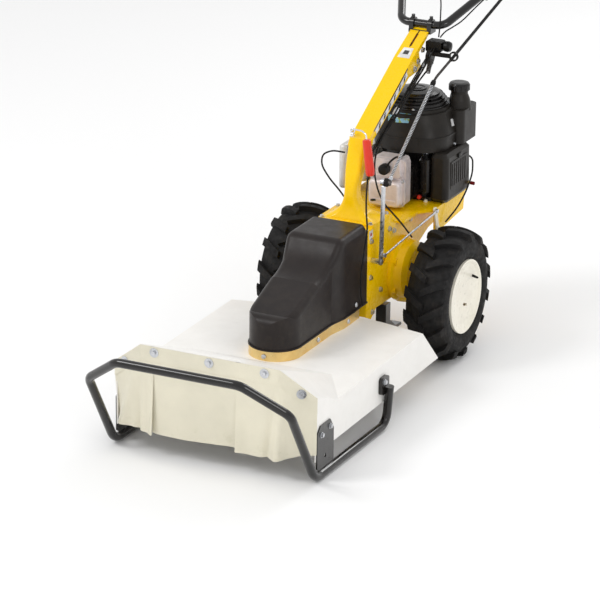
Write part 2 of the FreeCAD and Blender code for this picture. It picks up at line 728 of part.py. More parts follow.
def steering_column():
    """Sheet-steel column: flared foot, narrow neck, wide arm leaning back to the head."""
    base = CHASSIS_TOP + 0.2
    levels = [(base + 6, -150, 80, 104, 22), (base + 16, -152, 62, 92, 22),
              (base + 38, -158, 36, 64, 16), (base + 80, -164, 20.5, 48, 12),
              (600, -148, 25, 48, 12), (655, -129, 28, 46, 12), (698, -113, 29.5, 48, 12)]
    post = Part.makeLoft([section(*level) for level in levels], True, False)
    foot = slab(flat, [(-90, -216), (90, -216), (90, -84), (-90, -84)], 10, Z * base, Z * 6)
    profile = outline(side, (-137, 672), [
        ((-132, 686), (-116, 697),), ((192, 868),), ((330, 932),), ((333, 925),), ((236, 872),),
        ((254, 816),), ((165, 811),), ((-36, 709),), ((-88, 683),), ((-92, 668),)])
    arm = prism(profile, X * 2 * ARM_HALF)
    arm.translate(X * -ARM_HALF)
    slot = slab(flat, [(-4, 0), (4, 0), (4, 62), (-4, 62)], 3.9, V(), Z * 60)
    slot.rotate(V(), X, 24)
    slot.translate(V(0, 240, 880))
    column = join(post, foot, arm)
    inner = ARM_HALF - 4
    hollow = slab(side, [(60, 780), (170, 822), (262, 822), (262, 850), (214, 868), (190, 861)], 0,
                  X * -inner, X * 2 * inner)
    saddle = rod((-60, BAR_Y, BAR_LEVEL), (60, BAR_Y, BAR_LEVEL), TUBE + 1)
    return column.cut([hollow, slot, saddle])


def column_bolts():
    spots = [(x, y) for x in (-80, 80) for y in (-207, -93)]
    return group([bolt((x, y, CHASSIS_TOP + 6.2), (0, 0, 1), 3.5, 6, 11) for x, y in spots])


def chassis_bolts():
    spots = [(-206, 186), (-222, 300), (-222, 415), (-150, 425), (-92, 415), (-150, 240),
             (-60, 400), (60, 400), (180, 400)]
    bolts = [bolt((CHASSIS_HALF + 0.1, y, z), (1, 0, 0), 4, 7, 8) for y, z in spots]
    return both_sides(group(bolts))


# --- bail lever on the column ------------------------------------------------------------------
GRIP_TOP = V(46, -170, 711)
GRIP_END = V(61, -170, 600)


def bail_wire():
    """Bent wire from the eye on the column to the inside of the red grip."""
    along = (GRIP_END - GRIP_TOP).normalize()
    return tube([(-21, -113, 715), (-21, -138, 715), (-8, -146, 729), (28, -162, 732),
                 tuple(GRIP_TOP - along * 15), tuple(GRIP_TOP + along * 80)], [7, 7, 14, 8], 2.5)


def red_grip():
    along = (GRIP_END - GRIP_TOP).normalize()
    profile = [(2.5, 0), (9, 0), (12.5, 3), (13, 10), (13.5, 55), (14, 98), (12.5, 109), (9, 112),
               (0, 112), (0, 80.2), (2.5, 80.2)]
    return turned(profile, tuple(GRIP_TOP), tuple(along))


def wire_eye():
    """Eye bolt on top of the post that the bail wire hangs in."""
    stem = rod((-21, -124, 692), (-21, -124, 708), 4)
    ring = Part.makeTorus(6.5, 2.5, V(-21, -124, 715), Y)
    nut = rod((-21, -124, 697.5), (-21, -124, 704), 7)
    return join(stem, ring, nut)


# --- engine ----------------------------------------------------------------------------------
def engine_block():
    """Crankcase with base flange and the finned cylinder reaching forward."""
    base = slab(flat, [(-88, 168), (118, 168), (118, 366), (-88, 366)], 30, Z * PLATE_TOP, Z * 12)
    case = slab(flat, [(-72, 176), (102, 176), (102, 352), (-72, 352)], 34,
                Z * (PLATE_TOP + 12), Z * 140)
    barrel = rod((ENGINE_X, 110, CYLINDER_LEVEL + 10), (ENGINE_X, 190, CYLINDER_LEVEL + 10), 40)
    fins = []
    for index in range(7):
        y = 112 + index * 10
        fins.append(slab(front, [(ENGINE_X - 58, 438), (ENGINE_X + 58, 438),
                                 (ENGINE_X + 58, 545), (ENGINE_X - 58, 545)], 14, Y * y, Y * 3.5))
    sump = rod((ENGINE_X, CRANK_Y, PLATE_TOP - 20), (ENGINE_X, CRANK_Y, PLATE_TOP), 44)
    return join(base, case, barrel, *fins, sump)


def cylinder_head():
    """Finned aluminium head, tall enough to reach the shroud."""
    fins = []
    for index in range(4):
        y = 66 + index * 10
        fins.append(slab(front, [(ENGINE_X - 56, 436), (ENGINE_X + 56, 436),
                                 (ENGINE_X + 56, 580), (ENGINE_X - 56, 580)], 12, Y * y, Y * 4))
    core = slab(front, [(ENGINE_X - 48, 442), (ENGINE_X + 48, 442), (ENGINE_X + 48, 584),
                        (ENGINE_X - 48, 584)], 10, Y * 61.7, Y * 48)
    shelf = slab(front, [(ENGINE_X - 46, 528), (ENGINE_X + 46, 528), (ENGINE_X + 40, 583),
                         (ENGINE_X - 40, 583)], 8, Y * 46, Y * 20)
    return join(core, shelf, *fins)


def rocker_cover():
    """Rounded pressed cover on the head's front with a flange and a raised band."""
    face = [(ENGINE_X - 57, 432), (ENGINE_X + 57, 432), (ENGINE_X + 57, 525), (ENGINE_X - 57, 525)]
    flange = slab(front, face, 16, Y * 54, Y * 7.5)
    inner = [(ENGINE_X - 51, 438), (ENGINE_X + 51, 438), (ENGINE_X + 51, 519), (ENGINE_X - 51, 519)]
    dome = slab(front, inner, 14, Y * 24, Y * 30)
    dome = dome.makeFillet(9, [edge for edge in dome.Edges if abs(edge.CenterOfMass.y - 24) < 0.5])
    band = slab(front, [(ENGINE_X - 40, 455), (ENGINE_X + 40, 455), (ENGINE_X + 40, 461),
                        (ENGINE_X - 40, 461)], 0, Y * 22, Y * 6)
    return join(flange, dome, band)


def spark_cap():
    """Round plug cap on the head's shelf, with its lead going up under the shroud."""
    cap = turned([(0, 0), (13, 0), (17, 8), (17, 24), (13, 32), (0, 34)], (ENGINE_X, 45.7, 556),
                 (0, -1, 0))
    lead = cable([(ENGINE_X + 10, 22, 566), (ENGINE_X + 22, 14, 584), (ENGINE_X + 34, 34, 598),
                  (ENGINE_X + 38, 60, 592), (ENGINE_X + 40, 86, 592)], 3.2)
    return join(cap, lead)


def shroud_plan(grow):
    """Plan outline of the blower housing: round over the flywheel, square tank side."""
    cx, cy = ENGINE_X, CRANK_Y
    return outline(flat, (cx - 118 - grow, cy), [
        ((cx - 112 - grow, cy - 60 - grow), (cx - 70, cy - 118 - grow)),
        ((cx - 5, cy - 134 - grow), (cx + 60, cy - 122 - grow)),
        ((cx + 106 + grow, cy - 94 - grow), (cx + 128 + grow, cy - 40)),
        ((cx + 130 + grow, cy + 92),),
        ((cx + 118 + grow, cy + 122 + grow), (cx + 88, cy + 132 + grow)),
        ((cx - 40, cy + 132 + grow),),
        ((cx - 108 - grow, cy + 96 + grow), (cx - 118 - grow, cy))])


def blower_housing():
    """Moulded engine shroud: lower band, tapered bowl and a raised fan ring."""
    low = shroud_plan(0)
    low.translate(Z * SHROUD_BOTTOM)
    mid = shroud_plan(2)
    mid.translate(Z * (SHROUD_BOTTOM + 46))
    high = shroud_plan(-16)
    high.translate(Z * (SHROUD_TOP - 8))
    lower = Part.makeLoft([low, mid], True, True)
    upper = Part.makeLoft([mid, high], True, True)
    ring = turned([(0, 0), (104, 0), (102, 8), (0, 8)], (ENGINE_X, CRANK_Y, SHROUD_TOP - 8),
                  (0, 0, 1))
    lip = shroud_plan(5)
    lip.translate(Z * (SHROUD_BOTTOM + 40))
    band = prism(lip, Z * 6)
    return join(lower, upper, ring, band)


def recoil_cover():
    """Domed starter cover with concentric rings and air slots."""
    profile = [(0, 0), (98, 0), (98, 5), (92, 6), (92, 14), (86, 15), (86, 22), (79, 23),
               (79, 30), (71, 31), (71, 37), (60, 42), (40, 45), (0, 46)]
    dome = turned(profile, (ENGINE_X, CRANK_Y, SHROUD_TOP + 0.1), (0, 0, 1))
    slots = []
    for index in range(10):
        slot = box((58, -4, 20), (110, 4, 28))
        slot.rotate(V(), Z, index * 36)
        slot.translate(V(ENGINE_X, CRANK_Y, SHROUD_TOP))
        slots.append(slot)
    return dome.cut(slots)


def starter_grip():
    """T-shaped pull grip resting against the shroud's left side."""
    base = (ENGINE_X - 92, CRANK_Y + 44, SHROUD_TOP + 16)
    bar = turned([(0, -30), (7, -28), (9, -10), (9, 10), (7, 28), (0, 30)], base, (0.3, 1, 0))
    stem = rod(base, (ENGINE_X - 86, CRANK_Y + 41, SHROUD_TOP + 12), 4)
    return join(bar, stem)


def fuel_tank():
    """Filler tower standing on the rear corner of the shroud."""
    x, y = ENGINE_X + 128, CRANK_Y + 62
    tower = turned([(0, 0), (40, 0), (34, 30), (27, 48), (27, 60), (0, 60)],
                   (x - 14, y, SHROUD_TOP - 20), (0, 0, 1))
    body = slab(flat, [(x - 60, y - 60), (x + 24, y - 60), (x + 24, y + 66), (x - 60, y + 66)], 24,
                Z * (SHROUD_BOTTOM + 4), Z * (SHROUD_TOP - SHROUD_BOTTOM - 16))
    shroud = blower_housing()
    dome = rod((ENGINE_X, CRANK_Y, SHROUD_TOP - 40), (ENGINE_X, CRANK_Y, SHROUD_TOP + 60), 105)
    return join(tower, body).cut([shroud, dome])


def fuel_cap():
    x, y = ENGINE_X + 114, CRANK_Y + 62
    cap = turned([(0, 0), (33, 0), (33, 16), (29, 22), (20, 24), (0, 24)],
                 (x, y, SHROUD_TOP + 40.3), (0, 0, 1))
    grooves = []
    for index in range(12):
        angle = index * math.pi / 6
        spot = (x + 34.5 * math.cos(angle), y + 34.5 * math.sin(angle))
        grooves.append(rod((spot[0], spot[1], SHROUD_TOP + 38), (spot[0], spot[1], SHROUD_TOP + 58), 3))
    return cap.cut(grooves)


def air_filter():
    """Air-filter box: tapered moulding with a ribbed side panel."""
    low = rounded(flat, [(112, 168), (160, 168), (160, 326), (112, 326)], 14)
    low.translate(Z * 428)
    mid = rounded(flat, [(110, 152), (170, 152), (170, 338), (110, 338)], 18)
    mid.translate(Z * 442)
    high = rounded(flat, [(110, 154), (168, 154), (168, 336), (110, 336)], 18)
    high.translate(Z * 572)
    crown = rounded(flat, [(114, 166), (158, 166), (158, 326), (114, 326)], 14)
    crown.translate(Z * 583.5)
    shell = join(Part.makeLoft([low, mid], True, True), Part.makeLoft([mid, high], True, True),
                 Part.makeLoft([high, crown], True, True))
    ribs = [box((168, 190 + 16 * k, 478), (172, 196 + 16 * k, 548)) for k in range(7)]
    panel = box((167, 182, 470), (170.5, 302, 556))
    over_base = box((105, 150, 425), (118.5, 370, 437.4))
    return join(shell, panel, *ribs).cut(over_base)


def carburettor():
    body = slab(flat, [(76, 150), (109.5, 150), (109.5, 300), (76, 300)], 10, Z * 458, Z * 104)
    bowl = rod((92, 215, 452), (92, 215, 475), 15)
    shell = join(body, bowl)
    return shell.cut(engine_block())


def silencer():
    """Exhaust silencer with its perforated heat guard, on the left of the cylinder."""
    can = slab(flat, [(-150, 120), (-84, 120), (-84, 300), (-150, 300)], 26, Z * 470, Z * 112)
    can = can.makeFillet(10, [edge for edge in can.Edges if abs(edge.CenterOfMass.z - 470) < 0.5])
    pipe = rod((-95, 150, 500), (ENGINE_X - 52, 150, 500), 12)
    louvres = [box((-152.5, 150 + 20 * k, 495), (-149, 158 + 20 * k, 560)) for k in range(6)]
    return join(can, pipe, *louvres).cut(engine_block())


# --- handlebar --------------------------------------------------------------------------------
def handlebar_points():
    right = [(BAR_HALF, BAR_Y, BAR_LEVEL), (196, BAR_Y + 286, BAR_LEVEL + 141),
             (292, BAR_Y + 590, BAR_LEVEL + 122)]
    left = [(-x, y, z) for x, y, z in reversed(right)]
    return left + right


def handlebar():
    return tube(handlebar_points(), [90, 40, 40, 90], BAR_TUBE)


def grip_line(sign):
    """Start and direction of a grip on the handlebar's end."""
    inner = V(sign * 196, BAR_Y + 286, BAR_LEVEL + 141)
    end = V(sign * 292, BAR_Y + 590, BAR_LEVEL + 122)
    direction = (end - inner).normalize()
    return end - direction * 128, direction


def handle_grips():
    grips = []
    for sign in (1, -1):
        start, direction = grip_line(sign)
        profile = [(BAR_TUBE + 0.02, 0), (20, 0), (20, 5), (17, 9), (16, 40), (17.5, 70), (16, 100),
                   (18, 124), (15, 130), (0, 131), (0, 128.1), (BAR_TUBE + 0.02, 128.1)]
        grips.append(turned(profile, tuple(start), tuple(direction)))
    return group(grips)


def lever_brackets():
    """Split clamps on the handlebar that carry the hand levers."""
    clamps = []
    for sign in (1, -1):
        start, direction = grip_line(sign)
        centre = start - direction * 34
        ring = turned([(BAR_TUBE + 0.02, -11), (18, -11), (18, 11), (BAR_TUBE + 0.02, 11)], tuple(centre),
                      tuple(direction))
        ear = box((-12, -8, -42), (12, 8, -14))
        ear.translate(centre)
        slot = box((-7, -14, -46), (7, 14, -19))
        slot.translate(centre)
        hole = rod(tuple(centre + V(-13, 0, -31)), tuple(centre + V(13, 0, -31)), 2.5)
        pin = rod(tuple(centre + V(-12, 0, -31)), tuple(centre + V(12, 0, -31)), 2.5)
        clamps.append(join(ring, ear.cut([slot, hole]), pin))
    return group(clamps)


def hand_lever(sign):
    """Pressed clutch lever under a grip, pivoted on the bracket's pin."""
    start, direction = grip_line(sign)
    pivot = start - direction * 34 + V(0, 0, -31)
    reach = V(direction.x, direction.y, 0).normalize()
    points = [pivot, pivot + reach * 60 + V(0, 0, -12), pivot + reach * 150 + V(0, 0, -22)]
    bar = tube([tuple(point) for point in points], 40, 3.2)
    boss = rod(tuple(pivot + V(-6, 0, 0)), tuple(pivot + V(6, 0, 0)), 7.5)
    bore = rod(tuple(pivot + V(-9, 0, 0)), tuple(pivot + V(9, 0, 0)), 2.56)
    return join(bar, boss).cut(bore)


def bar_clamps(column):
    """Seat block on the head and the two narrow saddles that hold the handlebar."""
    saddles = []
    for x in (-30, 30):
        ring = rod((x - 7, BAR_Y, BAR_LEVEL), (x + 7, BAR_Y, BAR_LEVEL), 18)
        foot = slab(side, [(BAR_Y - 18, BAR_LEVEL - 20), (BAR_Y + 18, BAR_LEVEL - 20),
                           (BAR_Y + 18, BAR_LEVEL), (BAR_Y - 18, BAR_LEVEL)], 0, X * (x - 7), X * 14)
        screw = rod((x, BAR_Y, BAR_LEVEL + 16), (x, BAR_Y, BAR_LEVEL + 26), 5.5)
        saddles.append(join(ring, foot, screw))
    seat = box((-37, BAR_Y - 20, BAR_LEVEL - 26), (37, BAR_Y + 20, BAR_LEVEL - 16))
    bore = rod((-60, BAR_Y, BAR_LEVEL), (60, BAR_Y, BAR_LEVEL), BAR_TUBE + RUNNING_FIT)
    return join(seat, *saddles).cut([bore, column])


def lock_block():
    """Black swivel block beside the head with its hand knob and the lower sector."""
    body = slab(front, [(ARM_HALF + 3, 866), (84, 866), (84, 900), (ARM_HALF + 3, 900)], 6,
                Y * 278, Y * 36)
    knob = turned([(0, 0), (10, 0), (16, 6), (17, 16), (14, 24), (0, 26)], (84, 298, 884), (1, 0, 0))
    sector = rod((44, 276, 852), (56, 276, 852), 24)
    return join(body, knob, sector, rod_guide())


def rod_guide():
    """Ring on an arm of the swivel block that the gear rod slides through."""
    ring = turned([(10.5, -4), (15, -4), (15, 4), (10.5, 4)], (132.3, 266, 865.7), (0, 1, 0))
    arm = box((62, 262, 859), (118.5, 270, 871))
    post = box((62, 262, 859), (72, 277.8, 871))
    return join(ring, arm, post)


# --- gear linkage -------------------------------------------------------------------------------
BAR_PIVOT = (120.0, -213.0, 352.0)
BALL = (120.0, -202.0, 599.0)


def gear_bar():
    """Upright flat bar that swings on the chassis, with a ball socket on top."""
    strap = slab(side, [(-222, 342), (-204, 342), (-193, 590), (-211, 590)], 6, X * 116, X * 6)
    boss = rod((CHASSIS_HALF + 1, *BAR_PIVOT[1:]), (124, *BAR_PIVOT[1:]), 8)
    socket = rod((112, BALL[1], BALL[2]), (126, BALL[1], BALL[2]), 11)
    return join(strap, boss, socket)


def gear_rod():
    """Push rod from the ball socket to the knob by the handlebar."""
    start = (134, BALL[1], BALL[2])
    run = [start, (126, 145, 828), (134, 300, 876), (146, 640, 978)]
    shaft = tube(run, [120, 120], 4)
    eye = rod((127, BALL[1], BALL[2]), (141, BALL[1], BALL[2]), 9)
    return join(shaft, eye)


def gear_knob():
    direction = V(12, 340, 102).normalize()
    return turned([(4.1, 0), (9, 0), (16, 12), (19, 26), (16, 40), (8, 47), (0, 48), (0, 20),
                   (4.1, 20)], (146 - direction.x * 20, 640 - direction.y * 20,
                                978 - direction.z * 20), tuple(direction))


def selector_crank():
    """Cream lever on the frame's flange, pushed by the selector rod at its top."""
    arm = slab(side, [(118, 352), (136, 352), (110, 434), (92, 434)], 7, X * (PLATE_HALF + 1), X * 5)
    boss = rod((PLATE_HALF + 0.3, 126, 362), (PLATE_HALF + 9, 126, 362), 6)
    return join(arm, boss)


def selector_rod():
    """Thin rod from the gear bar's foot to the selector crank."""
    start, end = V(128, -205, 372), V(161, 101, 424)
    shaft = rod(tuple(start), tuple(end), 3)
    eyes = [rod((start.x - 4, start.y, start.z), (start.x + 4, start.y, start.z), 6.5),
            rod((end.x - 3.5, end.y, end.z), (end.x + 4, end.y, end.z), 6.5)]
    return join(shaft, *eyes)


# --- cables ------------------------------------------------------------------------------------
DECK_CABLE = [(40, 270, 842), (38, 192, 800), (37, 80, 746), (36, -36, 696), (38, -104, 662),
              (42, -142, 610), (54, -182, 552), (74, -226, 508), (100, -268, 464),
              (106, -306, 404), (106, -326, 340), (105, -320, 280), (102, -300, 240)]
DRIVE_CABLE = [(63, 268, 836), (52, 188, 796), (45, 76, 746), (43, -40, 690), (46, -104, 650),
               (54, -130, 600), (62, -122, 545), (74, -100, 494), (101, -72, 450),
               (122, -50, 412), (138, -30, 376)]
THROTTLE_CABLE = [(150, 343, 536), (168, 352, 522), (177, 334, 482), (178, 286, 436),
                  (172, 230, 396), (158, 176, 366)]
BRAKE_CABLE = [(-36, -146, 652), (-80, -138, 650), (-120, -124, 628), (-128, -114, 590),
               (-104, -106, 548), (-74, -96, 512), (-66, -68, 476), (-84, -36, 454)]


def control_cables():
    """Outer cables that run along the column and down to the deck, drive, throttle and brake."""
    routes = (DECK_CABLE, DRIVE_CABLE, THROTTLE_CABLE, BRAKE_CABLE)
    return group([cable(route, CABLE_RADIUS) for route in routes])


# --- output ---------------------------------------------------------------------------------------
def build_all():
    column = steering_column()
    return {
        "tyre_left": tyre(1), "tyre_right": tyre(-1), "rim_left": rim(1), "rim_right": rim(-1),
        "axle_shaft": axle_shaft(), "hub_collars": hub_collars(),
        "deck_shell": deck_shell(), "front_flap": front_flap(), "flap_bolts": flap_bolts(),
        "front_guard": front_guard(), "guard_brackets": guard_brackets(),
        "guard_bolts": guard_bolts(),
        "spindle_housing": spindle_housing(), "bearings": bearings(),
        "blade_spindle": blade_spindle(), "cutter_blade": cutter_blade(),
        "spindle_pulley": spindle_pulley(), "drive_pulley": drive_pulley(),
        "drive_shaft": drive_shaft(), "drive_housing": drive_housing(),
        "drive_belt": drive_belt(),
        "belt_cover": belt_cover(), "cover_base": cover_base(), "cover_screws": cover_screws(),
        "chassis_frame": chassis_frame(), "final_drive_left": final_drive(1),
        "final_drive_right": final_drive(-1), "gearbox_case": gearbox_case(),
        "rear_skid": rear_skid(), "chassis_bolts": chassis_bolts(),
        "steering_column": column, "column_bolts": column_bolts(),
        "bail_wire": bail_wire(), "red_grip": red_grip(), "wire_eye": wire_eye(),
        "engine_block": engine_block(), "cylinder_head": cylinder_head(),
        "rocker_cover": rocker_cover(), "spark_cap": spark_cap(),
        "blower_housing": blower_housing(), "recoil_cover": recoil_cover(),
        "starter_grip": starter_grip(), "fuel_tank": fuel_tank(), "fuel_cap": fuel_cap(),
        "air_filter": air_filter(), "carburettor": carburettor(), "silencer": silencer(),
        "handlebar": handlebar(), "handle_grips": handle_grips(),
        "lever_brackets": lever_brackets(), "drive_lever": hand_lever(1),
        "blade_lever": hand_lever(-1), "bar_clamps": bar_clamps(column), "lock_block": lock_block(),
        "gear_bar": gear_bar(), "gear_rod": gear_rod(), "gear_knob": gear_knob(),
        "control_cables": control_cables(),
        "selector_rod": selector_rod(), "selector_crank": selector_crank(),
    }


def write(shapes):
    os.makedirs("parts", exist_ok=True)
    for name, shape in shapes.items():
        shape.translate(Y * AXLE_SHIFT)
        shape.exportStep("parts/" + name + ".step")


if __name__ == "__main__":
    write(build_all())
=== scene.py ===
import math

import bpy
from mathutils import Matrix, Vector


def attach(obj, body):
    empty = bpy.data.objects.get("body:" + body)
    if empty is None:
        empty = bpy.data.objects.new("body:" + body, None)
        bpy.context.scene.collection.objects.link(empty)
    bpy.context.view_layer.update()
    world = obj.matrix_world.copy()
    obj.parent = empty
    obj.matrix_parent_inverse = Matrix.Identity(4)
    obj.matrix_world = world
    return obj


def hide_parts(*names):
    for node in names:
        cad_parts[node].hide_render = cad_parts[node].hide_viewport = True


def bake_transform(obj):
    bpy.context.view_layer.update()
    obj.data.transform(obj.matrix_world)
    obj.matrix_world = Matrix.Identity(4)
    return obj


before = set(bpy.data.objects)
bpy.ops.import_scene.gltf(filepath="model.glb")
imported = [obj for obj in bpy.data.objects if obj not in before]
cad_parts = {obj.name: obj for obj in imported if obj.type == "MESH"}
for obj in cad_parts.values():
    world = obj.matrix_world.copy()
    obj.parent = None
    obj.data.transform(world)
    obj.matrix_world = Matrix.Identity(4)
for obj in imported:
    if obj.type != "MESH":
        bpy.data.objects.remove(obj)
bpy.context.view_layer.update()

bl_info = {
    "name": "Brush mower looks",
    "version": (1, 0, 0),
    "blender": (4, 5, 0),
    "location": "3D View > Sidebar > Brush mower",
    "description": "Paints and dresses the packed brush mower: finishes, curtain, springs, wires, "
    "stickers and small fittings",
    "category": "Object",
}

MM = 0.001
AXLE_BACK = 188.0  # the drawing's axle, in millimetres behind the frame's middle


def rgb(red, green, blue):
    """A paint-chart colour, 0 to 255 a channel, as linear light with full alpha."""
    linear = []
    for channel in (red, green, blue):
        value = channel / 255
        linear.append(value / 12.92 if value <= 0.04045 else ((value + 0.055) / 1.055) ** 2.4)
    return (*linear, 1.0)


def at(x, y, z):
    """A place of the drawing, millimetres with the axle at y = 0, in metres of the frame."""
    return Vector((x, y + AXLE_BACK, z)) * MM


# --- sizes and colours that a user would change ------------------------------------------


def colour_of(name, description, chart):
    return bpy.props.FloatVectorProperty(
        name=name,
        description=description,
        subtype="COLOR",
        size=4,
        min=0.0,
        max=1.0,
        default=rgb(*chart),
    )


class MowerColours(bpy.types.PropertyGroup):
    """Main colours of the mower."""

    body: colour_of("Body", "Gloss paint of the chassis and steering column", (255, 205, 0))
    cover: colour_of("Belt cover", "Moulded cover over the belt drive", (38, 33, 32))
    deck: colour_of("Deck", "Powder coat of the mowing deck", (245, 243, 239))
    curtain: colour_of("Curtain", "Coated canvas across the deck's mouth", (236, 230, 208))
    rim: colour_of("Rims", "Paint of the wheel rims", (246, 241, 226))
    tyre: colour_of("Tyres", "Tread rubber", (26, 25, 25))
    bars: colour_of("Bars", "Gloss paint of the guard and the handlebar", (15, 13, 13))
    engine: colour_of("Engine", "Moulded shroud, filter box and tank", (33, 30, 27))
    grip: colour_of("Brake grip", "Grip of the engine brake wire", (224, 46, 22))


class MowerSizes(bpy.types.PropertyGroup):
    """Sizes of the dressed pieces."""

    curtain_hem: bpy.props.FloatProperty(
        name="Curtain hem", description="Height of the bolted top strip", default=0.046,
        min=0.02, max=0.08, unit="LENGTH")
    curtain_fold: bpy.props.FloatProperty(
        name="Curtain fold", description="How far the hanging folds stand out", default=0.013,
        min=0.0, max=0.03, unit="LENGTH")
    cable_radius: bpy.props.FloatProperty(
        name="Bar cable radius", description="Radius of the thin cables on the handlebar",
        default=0.0022, min=0.001, max=0.004, unit="LENGTH")
    coil_pitch: bpy.props.FloatProperty(
        name="Rod coil pitch", description="Distance between turns of the gear rod's coil",
        default=0.0058, min=0.003, max=0.02, unit="LENGTH")
    floor_span: bpy.props.FloatProperty(
        name="Floor span", description="Width of the studio floor", default=90.0, min=10.0,
        max=200.0, unit="LENGTH")


# --- finishes ---------------------------------------------------------------------------------


class Finish:
    """One finish's node tree, built on the frame's own coordinates."""

    def __init__(self, name, rough=0.4, metallic=0.0, **sockets):
        self.material = bpy.data.materials.new(name)
        self.material.use_nodes = True
        self.tree = self.material.node_tree
        self.tree.nodes.clear()
        self.shader = self.node("BsdfPrincipled", {"Roughness": rough, "Metallic": metallic})
        for socket, value in sockets.items():
            self.shader.inputs[socket.replace("_", " ")].default_value = value
        output = self.node("OutputMaterial")
        self.tree.links.new(self.shader.outputs["BSDF"], output.inputs["Surface"])
        self.place = self.node("TexCoord").outputs["Object"]
        self.normal = None

    def node(self, kind, values=None, **settings):
        made = self.tree.nodes.new("ShaderNode" + kind)
        for key, value in settings.items():
            setattr(made, key, value)
        for key, value in (values or {}).items():
            if isinstance(value, bpy.types.NodeSocket):
                self.tree.links.new(value, made.inputs[key])
            else:
                made.inputs[key].default_value = value
        return made

    def noise(self, scale, detail=3.0, rough=0.55, place=None, distortion=0.0):
        return self.node("TexNoise", {
            "Vector": place or self.place, "Scale": scale, "Detail": detail, "Roughness": rough,
            "Distortion": distortion}).outputs["Fac"]

    def stretched(self, scale, turn=(0.0, 0.0, 0.0), shift=(0.0, 0.0, 0.0), place=None):
        return self.node("Mapping", {
            "Vector": place or self.place, "Scale": scale, "Rotation": turn,
            "Location": shift}).outputs["Vector"]

    def span(self, value, low, high, to_low=0.0, to_high=1.0):
        return self.node("MapRange", {
            "Value": value, "From Min": low, "From Max": high, "To Min": to_low,
            "To Max": to_high}).outputs["Result"]

    def sum(self, operation, first, second):
        made = self.node("Math", operation=operation)
        for index, value in enumerate((first, second)):
            if isinstance(value, bpy.types.NodeSocket):
                self.tree.links.new(value, made.inputs[index])
            else:
                made.inputs[index].default_value = value
        return made.outputs["Value"]

    def blend(self, share, first, second, kind="MIX"):
        made = self.node("Mix", data_type="RGBA", blend_type=kind)
        for index, value in ((0, share), (6, first), (7, second)):
            if isinstance(value, bpy.types.NodeSocket):
                self.tree.links.new(value, made.inputs[index])
            else:
                made.inputs[index].default_value = value
        return made.outputs[2]

    def colour(self, value):
        self.tree.links.new(value, self.shader.inputs["Base Color"])
        self.base = value
        return value

    def roughness(self, value):
        self.tree.links.new(value, self.shader.inputs["Roughness"])

    def bump(self, height, distance, strength=1.0):
        values = {"Height": height, "Distance": distance, "Strength": strength}
        if self.normal:
            values["Normal"] = self.normal
        self.normal = self.node("Bump", values).outputs["Normal"]
        self.tree.links.new(self.normal, self.shader.inputs["Normal"])

    def height(self):
        split = self.node("SeparateXYZ", {"Vector": self.place})
        return split.outputs["Z"]

    def grime(self, tone, most, top=0.5, bottom=0.05, scale=22.0):
        """Dust that gathers towards the ground and in patches."""
        low = self.span(self.height(), top, bottom, 0.15, 1.0)
        patches = self.span(self.noise(scale, 6.0, 0.65), 0.45, 0.75, 0.0, most)
        return self.colour(self.blend(self.sum("MULTIPLY", low, patches), self.base, tone))

    def scratches(self, tone, most, turn=(0.3, 0.5, 0.2)):
        """Fine rubbed lines and the scuffs around them."""
        lines = self.noise(38.0, 5.0, 0.7, self.stretched((1.0, 22.0, 6.0), turn), 0.4)
        worn = self.span(lines, 0.69, 0.76, 0.0, most)
        return self.colour(self.blend(worn, self.base, tone))


def shade(tone, factor):
    return tuple(min(1.0, channel * factor) for channel in tone[:3]) + (1.0,)


def paint(name, tone, rough, coat, peel=0.00012, worn=0.25, primer=None, dust=0.3, gloss=0.3,
          **sockets):
    """Gloss paint over steel: slight mottle, orange peel, scuffs and dust."""
    made = Finish(name, rough=rough, Coat_Weight=coat, Coat_Roughness=0.08,
                  Specular_IOR_Level=gloss, **sockets)
    cloud = made.span(made.noise(7.0, 5.0), 0.3, 0.72)
    made.colour(made.blend(cloud, shade(tone, 0.965), shade(tone, 1.02)))
    made.scratches(primer or shade(tone, 0.62), worn)
    made.grime(rgb(150, 138, 116), dust)
    made.roughness(made.span(made.noise(60.0, 6.0), 0.3, 0.75, rough * 0.75, rough * 1.5))
    made.bump(made.noise(330.0, 2.0), peel)
    return made.material


def metal(name, tone, rough, spread=0.1, grain=900.0, depth=0.00005, metallic=1.0, tint=None,
          dust=0.15, brushed=False):
    """Bare or plated metal with drifting tone, fine grain and handling marks."""
    made = Finish(name, rough=rough, metallic=metallic)
    drift = made.span(made.noise(34.0, 5.0, 0.6), 0.32, 0.7)
    made.colour(made.blend(drift, shade(tone, 1 - spread), tint or shade(tone, 1 + spread)))
    made.scratches(shade(tone, 0.5), 0.35, (0.8, 0.1, 0.6))
    made.grime(rgb(96, 84, 66), dust, 0.6, 0.0, 40.0)
    place = made.stretched((1.0, 1.0, 14.0)) if brushed else None
    made.roughness(made.span(made.noise(90.0, 6.0, place=place), 0.3, 0.7, rough * 0.7,
                             min(1.0, rough * 1.5)))
    made.bump(made.noise(grain, 3.0, place=place), depth)
    return made.material


